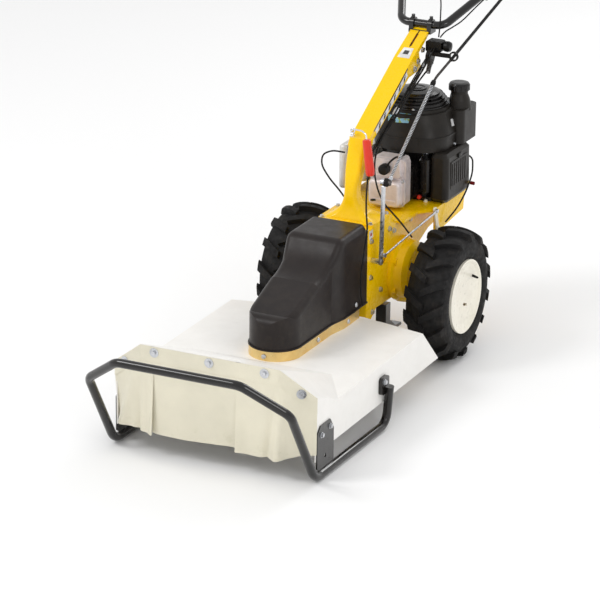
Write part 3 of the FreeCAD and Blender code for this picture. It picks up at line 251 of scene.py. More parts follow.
def moulding(name, tone, rough, grain=1500.0, depth=0.00009, coat=0.0, dust=0.3, bloom=1.5):
    """Moulded plastic: fine spark grain, faint bloom and rubbed highlights."""
    made = Finish(name, rough=rough, Coat_Weight=coat, Coat_Roughness=0.25,
                  Specular_IOR_Level=0.22)
    cloud = made.span(made.noise(9.0, 6.0, 0.6), 0.35, 0.72)
    made.colour(made.blend(cloud, shade(tone, 0.88), shade(tone, bloom * 0.8)))
    made.scratches(shade(tone, bloom * 1.7), 0.3)
    made.grime(rgb(128, 116, 98), dust, 0.9, 0.1, 30.0)
    made.roughness(made.span(made.noise(26.0, 7.0), 0.3, 0.72, rough * 0.82, rough * 1.22))
    cells = made.node("TexVoronoi", {"Vector": made.place, "Scale": grain}).outputs["Distance"]
    made.bump(cells, depth, 0.5)
    made.bump(made.noise(18.0, 3.0), 0.0005, 0.35)
    return made.material


def tyre_rubber(name, tone, axle):
    """Tread rubber: rings moulded in the sidewall, dried dust on the lugs."""
    made = Finish(name, rough=0.72, Specular_IOR_Level=0.25)
    cloud = made.span(made.noise(26.0, 6.0, 0.65), 0.3, 0.75)
    made.colour(made.blend(cloud, shade(tone, 0.75), shade(tone, 1.35)))
    dirt = made.span(made.noise(16.0, 8.0, 0.7), 0.52, 0.76, 0.0, 0.28)
    made.colour(made.blend(dirt, made.base, rgb(84, 76, 66)))
    made.roughness(made.span(made.noise(70.0, 6.0), 0.3, 0.7, 0.55, 0.9))
    hub = made.stretched((1.0, 1.0, 1.0), shift=(0.0, -axle.y, -axle.z))
    rings = made.node("TexWave", {"Vector": hub, "Scale": 18.0, "Distortion": 0.0},
                      wave_type="RINGS", rings_direction="X").outputs["Fac"]
    made.bump(made.span(rings, 0.86, 0.97), 0.0008, 0.6)
    made.bump(made.noise(420.0, 5.0, 0.7), 0.0004, 0.6)
    return made.material


def woven_canvas(name, tone):
    """Coated canvas: two thread directions, soft creases and grass stain at the foot."""
    made = Finish(name, rough=0.62, Sheen_Weight=0.25, Sheen_Roughness=0.5)
    lay = made.node("TexCoord").outputs["UV"]
    cloud = made.span(made.noise(6.0, 5.0, 0.6), 0.3, 0.72)
    made.colour(made.blend(cloud, shade(tone, 0.9), shade(tone, 1.04)))
    stain = made.span(made.noise(24.0, 8.0, 0.7), 0.56, 0.8, 0.0, 0.45)
    foot = made.span(made.height(), 0.17, 0.06)
    made.colour(made.blend(made.sum("MULTIPLY", stain, foot), made.base, rgb(150, 148, 96)))
    threads = []
    for axis in ("X", "Y"):
        wave = made.node("TexWave", {"Vector": lay, "Scale": 210.0, "Distortion": 0.6,
                                     "Detail": 1.0, "Detail Scale": 2.0},
                         bands_direction=axis)
        threads.append(wave.outputs["Fac"])
    weave = made.sum("MULTIPLY", threads[0], threads[1])
    made.colour(made.blend(made.span(weave, 0.0, 0.5, 0.14, 0.0), made.base, shade(tone, 0.55)))
    made.roughness(made.span(made.noise(50.0, 4.0), 0.3, 0.7, 0.5, 0.75))
    made.bump(made.noise(9.0, 5.0, 0.6, made.stretched((1.0, 1.0, 0.35))), 0.006, 0.35)
    made.bump(weave, 0.0004, 0.6)
    return made.material


def zinc_gold(name, tone):
    """Yellow passivated zinc with drifting pink and green tints."""
    made = Finish(name, rough=0.34, metallic=0.75)
    made.colour(made.blend(made.span(made.noise(16.0, 4.0), 0.3, 0.7), tone, rgb(240, 214, 150)))
    made.colour(made.blend(made.span(made.noise(28.0, 3.0), 0.5, 0.8, 0.0, 0.4), made.base,
                           rgb(206, 176, 120)))
    made.scratches(rgb(150, 116, 60), 0.4)
    made.roughness(made.span(made.noise(80.0, 6.0), 0.3, 0.7, 0.25, 0.5))
    made.bump(made.noise(700.0, 3.0), 0.00005)
    return made.material


def oiled_canister(name, tone):
    """Aluminised silencer steel with a heat tint."""
    made = Finish(name, rough=0.4, metallic=0.55)
    made.colour(made.blend(made.span(made.noise(20.0, 5.0), 0.3, 0.7), tone, shade(tone, 0.84)))
    heat = made.span(made.noise(7.0, 2.0), 0.5, 0.8, 0.0, 0.45)
    made.colour(made.blend(heat, made.base, rgb(196, 170, 132)))
    made.scratches(rgb(110, 104, 98), 0.35)
    made.roughness(made.span(made.noise(60.0, 6.0), 0.3, 0.7, 0.3, 0.6))
    made.bump(made.noise(500.0, 4.0), 0.00008)
    return made.material


def sticker_print(name, tones, bands, turn=0.0):
    """Printed label with soft diagonal areas of colour under a clear film."""
    made = Finish(name, rough=0.28, Coat_Weight=0.6, Coat_Roughness=0.06)
    drift = made.node("TexGradient", {
        "Vector": made.stretched((bands, bands, bands), (0.0, turn, 0.0))}).outputs["Fac"]
    wave = made.node("TexNoise", {"Vector": made.place, "Scale": bands * 1.6,
                                  "Detail": 1.0}).outputs["Fac"]
    mixed = made.sum("ADD", made.sum("MULTIPLY", drift, 0.25), wave)
    made.colour(made.blend(made.span(mixed, 0.42, 0.6), tones[0], tones[1]))
    if len(tones) > 2:
        made.colour(made.blend(made.span(made.noise(bands * 3.1, 1.0), 0.55, 0.62), made.base,
                               tones[2]))
    made.roughness(made.span(made.noise(90.0, 4.0), 0.3, 0.7, 0.2, 0.4))
    made.bump(made.noise(260.0, 2.0), 0.00004)
    return made.material


def finishes(colours):
    """Every finish of the mower by the name of its material slot, and the extra prints."""
    axle = at(0, 0, 205)
    made = {
        "tyre": tyre_rubber("tyre_rubber", tuple(colours.tyre), axle),
        "rim_cream": paint("rim_enamel", tuple(colours.rim), 0.3, 0.35, worn=0.12,
                           primer=rgb(206, 196, 176), dust=0.22),
        "cream_paint": paint("lever_enamel", rgb(238, 230, 208), 0.35, 0.3),
        "deck_white": paint("deck_powder_coat", tuple(colours.deck), 0.42, 0.1, 0.0002, 0.06,
                            rgb(226, 222, 214), 0.07),
        "flap_canvas": woven_canvas("curtain_canvas", tuple(colours.curtain)),
        "frame_black": paint("bar_enamel", tuple(colours.bars), 0.2, 0.7, 0.00007, 0.3,
                             rgb(74, 68, 64), 0.05, 0.2),
        "yellow_paint": paint("body_enamel", tuple(colours.body), 0.26, 0.3, 0.00010, 0.14,
                              rgb(214, 156, 4), 0.05, 0.16),
        "cover_plastic": moulding("belt_cover_moulding", tuple(colours.cover), 0.36,
                                  dust=0.06),
        "engine_black": moulding("engine_moulding", tuple(colours.engine), 0.38, 1100.0,
                                 dust=0.08),
        # engine_gloss: black enamel on the boss, rings and oil neck, and painted shade on the
        # engine block, which is made black where it stands in shadow
        "engine_gloss": moulding("engine_enamel_and_painted_shade", rgb(17, 15, 15), 0.26, 500.0, 0.00004, 0.3,
                                 0.08),
        "black_plastic": moulding("knob_moulding", rgb(17, 16, 16), 0.36, dust=0.08),
        "black_rubber": moulding("grip_rubber", rgb(20, 19, 19), 0.6, 700.0, 0.0002,
                                 dust=0.1),
        "belt_rubber": moulding("belt_rubber", rgb(30, 29, 30), 0.7, 600.0, 0.0002),
        "red_plastic": paint("brake_grip_vinyl", tuple(colours.grip), 0.32, 0.4, 0.0001, 0.12,
                             rgb(150, 20, 8), 0.05, Subsurface_Weight=0.05),
        "golden_zinc": zinc_gold("yellow_zinc", rgb(236, 196, 118)),
        "bright_steel": metal("bright_zinc", rgb(206, 208, 212), 0.28, 0.08),
        "chrome": metal("chrome_plate", rgb(228, 230, 234), 0.1, 0.04, depth=0.00002),
        "dark_steel": metal("black_oxide", rgb(78, 74, 72), 0.4, 0.2),
        "cast_iron": metal("cast_iron", rgb(108, 104, 100), 0.55, 0.15, 420.0, 0.0003, 0.7),
        "aluminium_cast": metal("cast_aluminium", rgb(214, 205, 204), 0.42, 0.07, 380.0, 0.0003,
                                0.35, rgb(230, 220, 219), 0.06),
        "silencer_grey": oiled_canister("silencer_steel", rgb(228, 226, 222)),
        "sticker_silver": sticker_print("silver_print", (rgb(224, 224, 226), rgb(246, 246, 246)),
                                        9.0),
        "sticker_black": sticker_print("black_print", (rgb(18, 17, 17), rgb(34, 32, 32)), 12.0),
        "sticker_blue": sticker_print("blue_green_print", (rgb(34, 74, 138), rgb(118, 170, 196),
                                                           rgb(120, 140, 60)), 34.0, 0.6),
        "sticker_white": sticker_print("white_print", (rgb(240, 240, 238), rgb(214, 214, 214)),
                                       30.0),
        "sticker_red": sticker_print("red_print", (rgb(206, 40, 30), rgb(170, 20, 20)), 30.0),
        "fuel_red": moulding("tap_moulding", rgb(122, 18, 20), 0.34),
    }
    return made


FINISHES = {}


# --- making pieces by hand --------------------------------------------------------------------


def deselect():
    if bpy.context.mode != "OBJECT":
        bpy.ops.object.mode_set(mode="OBJECT")
    bpy.ops.object.select_all(action="DESELECT")


def choose(*objects):
    deselect()
    for obj in objects:
        obj.select_set(True)
    bpy.context.view_layer.objects.active = objects[-1]
    return objects[-1]


def started(name):
    obj = bpy.context.object
    obj.name = obj.data.name = name
    return obj


def cylinder(name, radius, depth, corners=32, base=0.0):
    """A cylinder along Z, millimetres, standing on base."""
    deselect()
    bpy.ops.mesh.primitive_cylinder_add(vertices=corners, radius=radius * MM, depth=depth * MM,
                                        location=(0, 0, (base + depth / 2) * MM))
    obj = started(name)
    bpy.ops.object.transform_apply(location=True, rotation=True, scale=True)
    return obj


def block(name, size, middle=(0.0, 0.0, 0.0)):
    """A box of that size round a middle, millimetres."""
    deselect()
    bpy.ops.mesh.primitive_cube_add(size=1.0, location=Vector(middle) * MM,
                                    scale=Vector(size) * MM)
    obj = started(name)
    bpy.ops.object.transform_apply(location=True, rotation=True, scale=True)
    return obj


def pick(obj, kind, test):
    """Enters edit mode with the faces, edges or corners that pass the test selected."""
    choose(obj)
    mesh = obj.data
    for part in (mesh.vertices, mesh.edges, mesh.polygons):
        part.foreach_set("select", [False] * len(part))
    if kind == "FACE":
        for face in mesh.polygons:
            face.select = bool(test(face.center / MM, face.normal))
    elif kind == "EDGE":
        for edge in mesh.edges:
            a, b = (mesh.vertices[v].co / MM for v in edge.vertices)
            edge.select = bool(test(a, b))
    else:
        for corner in mesh.vertices:
            corner.select = bool(test(corner.co / MM))
    bpy.ops.object.mode_set(mode="EDIT")
    bpy.ops.mesh.select_mode(type=kind)
    return obj


def leave():
    bpy.ops.object.mode_set(mode="OBJECT")


def raised(obj, test, inset, lift, scale=1.0):
    """Insets the faces that pass, then extrudes them by lift along their normal."""
    pick(obj, "FACE", test)
    if inset:
        bpy.ops.mesh.inset(thickness=inset * MM, depth=0.0)
    bpy.ops.mesh.extrude_region_shrink_fatten(
        TRANSFORM_OT_shrink_fatten={"value": lift * MM})
    if scale != 1.0:
        bpy.ops.transform.resize(value=(scale, scale, scale))
    leave()


def softened(obj, width, segments=2, angle=35.0):
    """Rounds every edge sharper than the angle with a bevel that is applied."""
    choose(obj)
    bevel = obj.modifiers.new("edges", "BEVEL")
    bevel.width, bevel.segments = width * MM, segments
    bevel.limit_method, bevel.angle_limit = "ANGLE", math.radians(angle)
    bpy.ops.object.modifier_apply(modifier=bevel.name)
    return obj


def put(obj, place, axis=(0.0, 0.0, 1.0), roll=0.0):
    """Turns a piece's Z to the axis, moves it to the place and settles it in its mesh."""
    turn = Vector(axis).to_track_quat("Z", "Y")
    obj.matrix_world = (Matrix.Translation(place) @ turn.to_matrix().to_4x4()
                        @ Matrix.Rotation(math.radians(roll), 4, "Z"))
    choose(obj)
    bpy.ops.object.transform_apply(location=True, rotation=True, scale=True)
    return obj


def copied(obj, name):
    deselect()
    other = obj.copy()
    other.data = obj.data.copy()
    other.name = other.data.name = name
    bpy.context.scene.collection.objects.link(other)
    return other


def joined(name, pieces):
    if len(pieces) > 1:
        choose(*pieces)
        bpy.ops.object.join()
    return started_as(pieces[-1], name)


def started_as(obj, name):
    obj.name = obj.data.name = name
    return obj


def closed(obj):
    """Merges doubled corners and turns every face outwards."""
    pick(obj, "FACE", lambda centre, normal: True)
    bpy.ops.mesh.remove_doubles(threshold=0.00002)
    bpy.ops.mesh.normals_make_consistent(inside=False)
    leave()
    return obj


def dressed(obj, body, finish, angle=40.0):
    """Shades the piece and gives it its finish and its body, or none where a blend follows."""
    choose(obj)
    bpy.ops.object.shade_smooth_by_angle(angle=math.radians(angle))
    obj.data.materials.clear()
    obj.data.materials.append(FINISHES[finish])
    if body:
        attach(obj, body)
    return obj


def wire(name, points, radius, sides=5):
    """A bent wire or hose on one smooth spline through the run's control points."""
    data = bpy.data.curves.new(name, "CURVE")
    data.dimensions = "3D"
    spline = data.splines.new("NURBS")
    spline.points.add(len(points) - 1)
    for knot, point in zip(spline.points, points):
        knot.co = (*at(*point), 1.0)
    spline.order_u = 3
    spline.use_endpoint_u = True
    data.resolution_u = 8
    data.bevel_depth = radius * MM
    data.bevel_resolution = sides - 3
    data.use_fill_caps = True
    obj = bpy.data.objects.new(name, data)
    bpy.context.scene.collection.objects.link(obj)
    choose(obj)
    bpy.ops.object.convert(target="MESH")
    return closed(started(name))


def coil(name, radius, thick, pitch, turns, steps=16, sides=6):
    """A coil spring along Z from zero, made by screwing a small circle round the axis."""
    deselect()
    bpy.ops.mesh.primitive_circle_add(vertices=sides, radius=thick * MM, fill_type="NGON")
    obj = started(name)
    obj.rotation_euler = (math.radians(90), 0.0, 0.0)
    obj.location = (radius * MM, 0.0, 0.0)
    bpy.ops.object.transform_apply(location=True, rotation=True, scale=True)
    screw = obj.modifiers.new("turns", "SCREW")
    screw.angle = math.radians(360.0)
    screw.screw_offset = pitch * MM
    screw.iterations = turns
    screw.steps = screw.render_steps = steps
    screw.use_merge_vertices = False
    bpy.ops.object.modifier_apply(modifier=screw.name)
    return closed(obj)


def hex_screw(name, radius, head, washer=0.0, dimple=True):
    """A hexagon screw head with a rounded crown, on its washer if it has one."""
    top = cylinder(name, radius, head, 6)
    raised(top, lambda c, n: n.z > 0.9, radius * 0.12, 0.25)
    softened(top, radius * 0.07, 2)
    if dimple:
        raised(top, lambda c, n: n.z > 0.9 and c.length < head + radius * 0.4, radius * 0.35,
               -head * 0.25)
    if not washer:
        return top
    ring = cylinder(name + "_washer", washer, 1.4, 32, -1.4)
    softened(ring, 0.3, 1)
    return joined(name, [ring, top])


def screws(name, body, spots, radius, head, washer=0.0, finish="bright_steel"):
    """Copies of one modelled screw at each (place, axis)."""
    first = hex_screw(name, radius, head, washer)
    made = []
    for index, (place, axis) in enumerate(spots):
        one = copied(first, f"{name}_{index}")
        put(one, at(*place), axis, 17.0 * index)
        made.append(one)
    bpy.data.objects.remove(first)
    return dressed(joined(name, made), body, finish)


def laid_panel(name, corners, node, body, finish, lift=0.35, thick=0.25, cuts=10):
    """A printed label laid on a CAD surface: a grid drawn to four corners and wrapped on it."""
    deselect()
    bpy.ops.mesh.primitive_grid_add(x_subdivisions=cuts, y_subdivisions=cuts, size=1.0)
    obj = started(name)
    a, b, c, d = (at(*corner) for corner in corners)
    for corner in obj.data.vertices:
        u, v = corner.co.x + 0.5, corner.co.y + 0.5
        corner.co = (a * (1 - u) + b * u) * (1 - v) + (d * (1 - u) + c * u) * v
    wrap = obj.modifiers.new("wrap", "SHRINKWRAP")
    wrap.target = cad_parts[node]
    wrap.wrap_method = "NEAREST_SURFACEPOINT"
    wrap.wrap_mode = "ABOVE_SURFACE"
    wrap.offset = lift * MM
    bpy.ops.object.modifier_apply(modifier=wrap.name)
    wall = obj.modifiers.new("film", "SOLIDIFY")
    wall.thickness, wall.offset = thick * MM, 0.0
    bpy.ops.object.modifier_apply(modifier=wall.name)
    closed(obj)
    return dressed(obj, body, finish)


class MowerStep:
    """Common ground of the mower's operators."""

    bl_options = {"REGISTER"}

    def execute(self, context):
        self.make(context.scene.mower_sizes, context.scene.mower_colours)
        return {"FINISHED"}


# --- finishes on the CAD pieces ---------------------------------------------------------------


class MOWER_OT_finishes(MowerStep, bpy.types.Operator):
    """Give every CAD piece its detailed finish"""

    bl_idname = "mower.finishes"
    bl_label = "Finishes"

    def make(self, sizes, colours):
        FINISHES.update(finishes(colours))
        for name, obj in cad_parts.items():
            for slot in obj.material_slots:
                finish = slot.material.name.split(".")[0]
                if finish not in FINISHES:
                    raise RuntimeError(f"{name} asks for an unknown finish, {finish}")
                slot.material = FINISHES[finish]


# --- curtain ----------------------------------------------------------------------------------

FACE_Y = -1092.3
FACET_Y = -1057.2
FOLD_X = 218.0
EDGE_X = 318.0
CURTAIN_TOP = 328.5
CURTAIN_CORNER = 251.5
FACET_RUN = math.hypot(EDGE_X - FOLD_X, FACET_Y - FACE_Y)
LEFT_LAP = (-183.0, -176.0)
RIGHT_LAP = (84.0, 96.0)
PANEL_OUT = 0.9
HEM_OUT = 2.25
CLOTH_WALL = 1.3
HEM_WALL = 1.1


def curtain_place(run, out):
    """Place on the curtain's line, run millimetres from its middle, out in front of it."""
    side = math.copysign(1.0, run)
    beyond = abs(run) - FOLD_X
    turn = math.atan2(FACET_Y - FACE_Y, EDGE_X - FOLD_X)
    soft = 0.5 + 0.5 * math.tanh(beyond / 9.0)
    lean = turn * soft
    if beyond <= 0:
        x, y = abs(run), FACE_Y
    else:
        x = FOLD_X + beyond * math.cos(turn)
        y = FACE_Y + beyond * math.sin(turn)
    x += out * math.sin(lean)
    y -= out * math.cos(lean)
    return side * x, y


def curtain_top(run):
    beyond = max(0.0, abs(run) - FOLD_X) / FACET_RUN
    return CURTAIN_TOP + (CURTAIN_CORNER - CURTAIN_TOP) * min(1.0, beyond)


def curtain_panel(name, first, last, bottom, out, folds, tips=(0.0, 0.0)):
    """One hanging panel: a grid mapped on the curtain's line, its folds given one by one."""
    deselect()
    columns, rows = max(12, int(abs(last - first) / 6)), 44
    bpy.ops.mesh.primitive_grid_add(x_subdivisions=columns, y_subdivisions=rows, size=1.0)
    obj = started(name)
    mesh = obj.data
    lay = mesh.uv_layers.active or mesh.uv_layers.new(name="UVMap")
    flat = []
    for corner in mesh.vertices:
        across, down = corner.co.x + 0.5, 0.5 - corner.co.y
        run = first + (last - first) * across
        top = curtain_top(run)
        foot = bottom + 2.2 * math.sin(run * 0.021 + 1.0) + tips[0] * (1 - across) ** 3 \
            + tips[1] * across ** 3
        z = top + (foot - top) * down
        flat.append((run * MM, z * MM))
        loose = max(0.0, down - 0.16) / 0.84
        stand = out
        for head, toe, width, height in folds:
            line = head + (toe - head) * down
            stand += height * loose ** 1.3 * math.exp(-(((run - line) / width) ** 2))
        stand += 1.6 * loose * math.sin(run * 0.034 + down * 1.7)
        x, y = curtain_place(run, stand)
        corner.co = at(x, y, z)
    for loop in mesh.loops:
        lay.data[loop.index].uv = flat[loop.vertex_index]
    return obj


class MOWER_OT_curtain(MowerStep, bpy.types.Operator):
    """Hang the canvas curtain in its three panels under the bolted hem"""

    bl_idname = "mower.curtain"
    bl_label = "Curtain"

    def make(self, sizes, colours):
        fold = sizes.curtain_fold / MM
        reach = FOLD_X + FACET_RUN
        left = curtain_panel("left", -reach, LEFT_LAP[1], 66.0, PANEL_OUT,
                             [(-224, -286, 20, fold * 1.9), (-214, -232, 9, -fold * 0.9),
                              (-180, -178, 13, fold * 1.1), (-304, -326, 18, -fold * 1.1)],
                             (16.0, 0.0))
        middle = curtain_panel("middle", LEFT_LAP[0], RIGHT_LAP[1], 68.0, PANEL_OUT,
                               [(-183, -183, 14, -fold * 0.4), (-60, -70, 60, fold * 0.5),
                                (40, 66, 26, -fold * 0.4)])
        right = curtain_panel("right", RIGHT_LAP[0], reach, 60.0, PANEL_OUT,
                              [(84, 84, 20, fold * 0.7), (212, 178, 10, -fold * 0.8),
                               (232, 214, 16, fold * 1.5), (262, 282, 24, -fold * 0.6),
                               (312, 322, 16, fold * 0.7)],
                              (0.0, 22.0))
        cloth = joined("curtain", [middle, left, right])
        wall = cloth.modifiers.new("cloth", "SOLIDIFY")
        wall.thickness, wall.offset = CLOTH_WALL * MM, 0.0
        choose(cloth)
        bpy.ops.object.modifier_apply(modifier=wall.name)
        dressed(cloth, "machine", "flap_canvas", angle=60.0)
        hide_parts("front_flap")

        hem = curtain_panel("curtain_hem", -reach, reach, 0.0, 2.2, [])
        height = sizes.curtain_hem / MM
        for corner in hem.data.vertices:
            place = corner.co / MM
            beyond = max(0.0, abs(place.x) - FOLD_X) / (EDGE_X - FOLD_X)
            run = min(abs(place.x), FOLD_X) + beyond * FACET_RUN
            top = curtain_top(run)
            share = (top - place.z) / top
            z = top - share * (height + 1.1 * math.sin(place.x * 0.05))
            x, y = curtain_place(math.copysign(run, place.x), HEM_OUT)
            corner.co = at(x, y, z)
        wall = hem.modifiers.new("cloth", "SOLIDIFY")
        wall.thickness, wall.offset = HEM_WALL * MM, 0.0
        choose(hem)
        bpy.ops.object.modifier_apply(modifier=wall.name)
        dressed(hem, "machine", "flap_canvas", angle=60.0)


# --- gear linkage -----------------------------------------------------------------------------

ROD_FOOT = Vector((134.0, -202.0, 599.0))
ROD_BEND = Vector((126.0, 145.0, 828.0))
ROD_NECK = Vector((134.0, 300.0, 876.0))
ROD_HEAD = Vector((146.0, 640.0, 978.0))


class MOWER_OT_gear_rod(MowerStep, bpy.types.Operator):
    """Wind the gear rod's lower run and sleeve its upper run"""

    bl_idname = "mower.gear_rod"
    bl_label = "Gear rod"

    def make(self, sizes, colours):
        along = ROD_BEND - ROD_FOOT
        length = along.length
        axis = along.normalized()
        pitch = sizes.coil_pitch / MM
        turns = int((length - 42) / pitch)
        wound = coil("gear_rod_coil", 4.3, 1.25, pitch, turns, 12, 6)
        put(wound, at(*(ROD_FOOT + axis * 16)), axis)
        dressed(wound, "gear_rod", "bright_steel", angle=60.0)
        for name, start, finish, size in (
                ("gear_rod_ferrule", ROD_FOOT + axis * 9, "bright_steel", (6.4, 14.0)),
                ("gear_rod_collar", ROD_BEND - axis * 30, "black_rubber", (7.0, 18.0))):
            band = cylinder(name, *size, 24)
            pick(band, "EDGE", lambda a, b: abs(a.z - b.z) > 1)
            bpy.ops.mesh.subdivide(number_cuts=3)
            leave()
            raised(band, lambda c, n: abs(n.z) < 0.3 and size[1] * 0.3 < c.z < size[1] * 0.7,
                   0.0, 0.9)
            softened(band, 0.6)
            put(band, at(*start), axis)
            dressed(band, "gear_rod", finish)
        upper = (ROD_HEAD - ROD_NECK).normalized()
        run = [tuple(ROD_NECK - upper * 60), tuple(ROD_NECK + upper * 30),
               tuple(ROD_NECK + upper * 200), tuple(ROD_HEAD - upper * 22)]
        sleeve = wire("gear_rod_sleeve", run, 4.9, 7)
        dressed(sleeve, "gear_rod", "black_rubber")
        boot = cylinder("ball_joint_boot", 13.0, 10.0, 28)
        raised(boot, lambda c, n: n.z > 0.9, 1.5, 4.0, 0.72)
        raised(boot, lambda c, n: n.z < -0.9, 1.5, 3.0, 0.8)
        softened(boot, 0.9)
        put(boot, at(123.0, -202.0, 599.0), (1, 0, 0))
        dressed(boot, "gear_bar", "black_rubber")


# --- stickers ---------------------------------------------------------------------------------

ARM_FOOT = Vector((30.0, -116.0, 697.0))
ARM_ALONG = Vector((0.0, 308.0, 171.0)).normalized()
ARM_DOWN = Vector((0.0, 171.0, -308.0)).normalized()


def arm_side(along, below):
    """A place on the arm's side face, along its top edge and below it."""
    return tuple(ARM_FOOT + ARM_ALONG * along + ARM_DOWN * below)



class MOWER_OT_stickers(MowerStep, bpy.types.Operator):
    """Lay the plain stripes and blank labels"""

    bl_idname = "mower.stickers"
    bl_label = "Stickers"

    def make(self, sizes, colours):
        def stripe(name, first, last, upper, lower, finish, lift, lean=0.0, cuts=10):
            corners = [arm_side(first, lower), arm_side(last, lower),
                       arm_side(last + lean, upper), arm_side(first + lean, upper)]
            return laid_panel(name, corners, "steering_column", "machine", finish, lift, 0.2,
                              cuts)

        stripe("stripe_thin", 34, 306, 1.5, 7.0, "sticker_black", 0.35)
        stripe("stripe_silver", 44, 296, 8.0, 25.0, "sticker_silver", 0.3)
        dashes = [stripe(f"dash_{index}", 62 + 40 * index, 74 + 40 * index, 11.0, 23.0,
                         "sticker_black", 0.65, 12.0, 3) for index in range(6)]
        dressed(joined("stripe_dashes", dashes), "machine", "sticker_black")
        laid_panel("head_label", [(-20, 186, 864), (20, 186, 864), (16, 228, 884),
                                  (-16, 228, 884)], "steering_column", "machine",
                   "sticker_white")
        laid_panel("head_label_disc", [(-9, 200, 872), (9, 200, 872), (8, 216, 880),
                                       (-8, 216, 880)], "steering_column", "machine",
                   "sticker_black", 0.7, 0.2)
        laid_panel("shroud_label", [(-24, 146, 668), (40, 153, 672), (44, 160, 698),
                                    (-27, 152, 690)], "blower_housing", "machine",
                   "sticker_blue")
        laid_panel("tank_label", [(146, 246, 652), (147, 284, 646), (145, 286, 668),
                                  (144, 249, 674)], "blower_housing", "machine",
                   "sticker_white")
        laid_panel("chassis_label", [(90, -236, 424), (90, -210, 424), (90, -210, 449),
                                     (90, -236, 449)], "chassis_frame", "machine",
                   "sticker_white")
        laid_panel("chassis_label_mark", [(90, -228, 432), (90, -218, 432), (90, -218, 441),
                                          (90, -228, 441)], "chassis_frame", "machine",
                   "sticker_red", 0.75, 0.2, 4)


# --- engine fittings --------------------------------------------------------------------------

KNOB_SIDES = 20
STARTER_MIDDLE = (15.0, 262.0)
STARTER_SCREWS_AT = 96.0


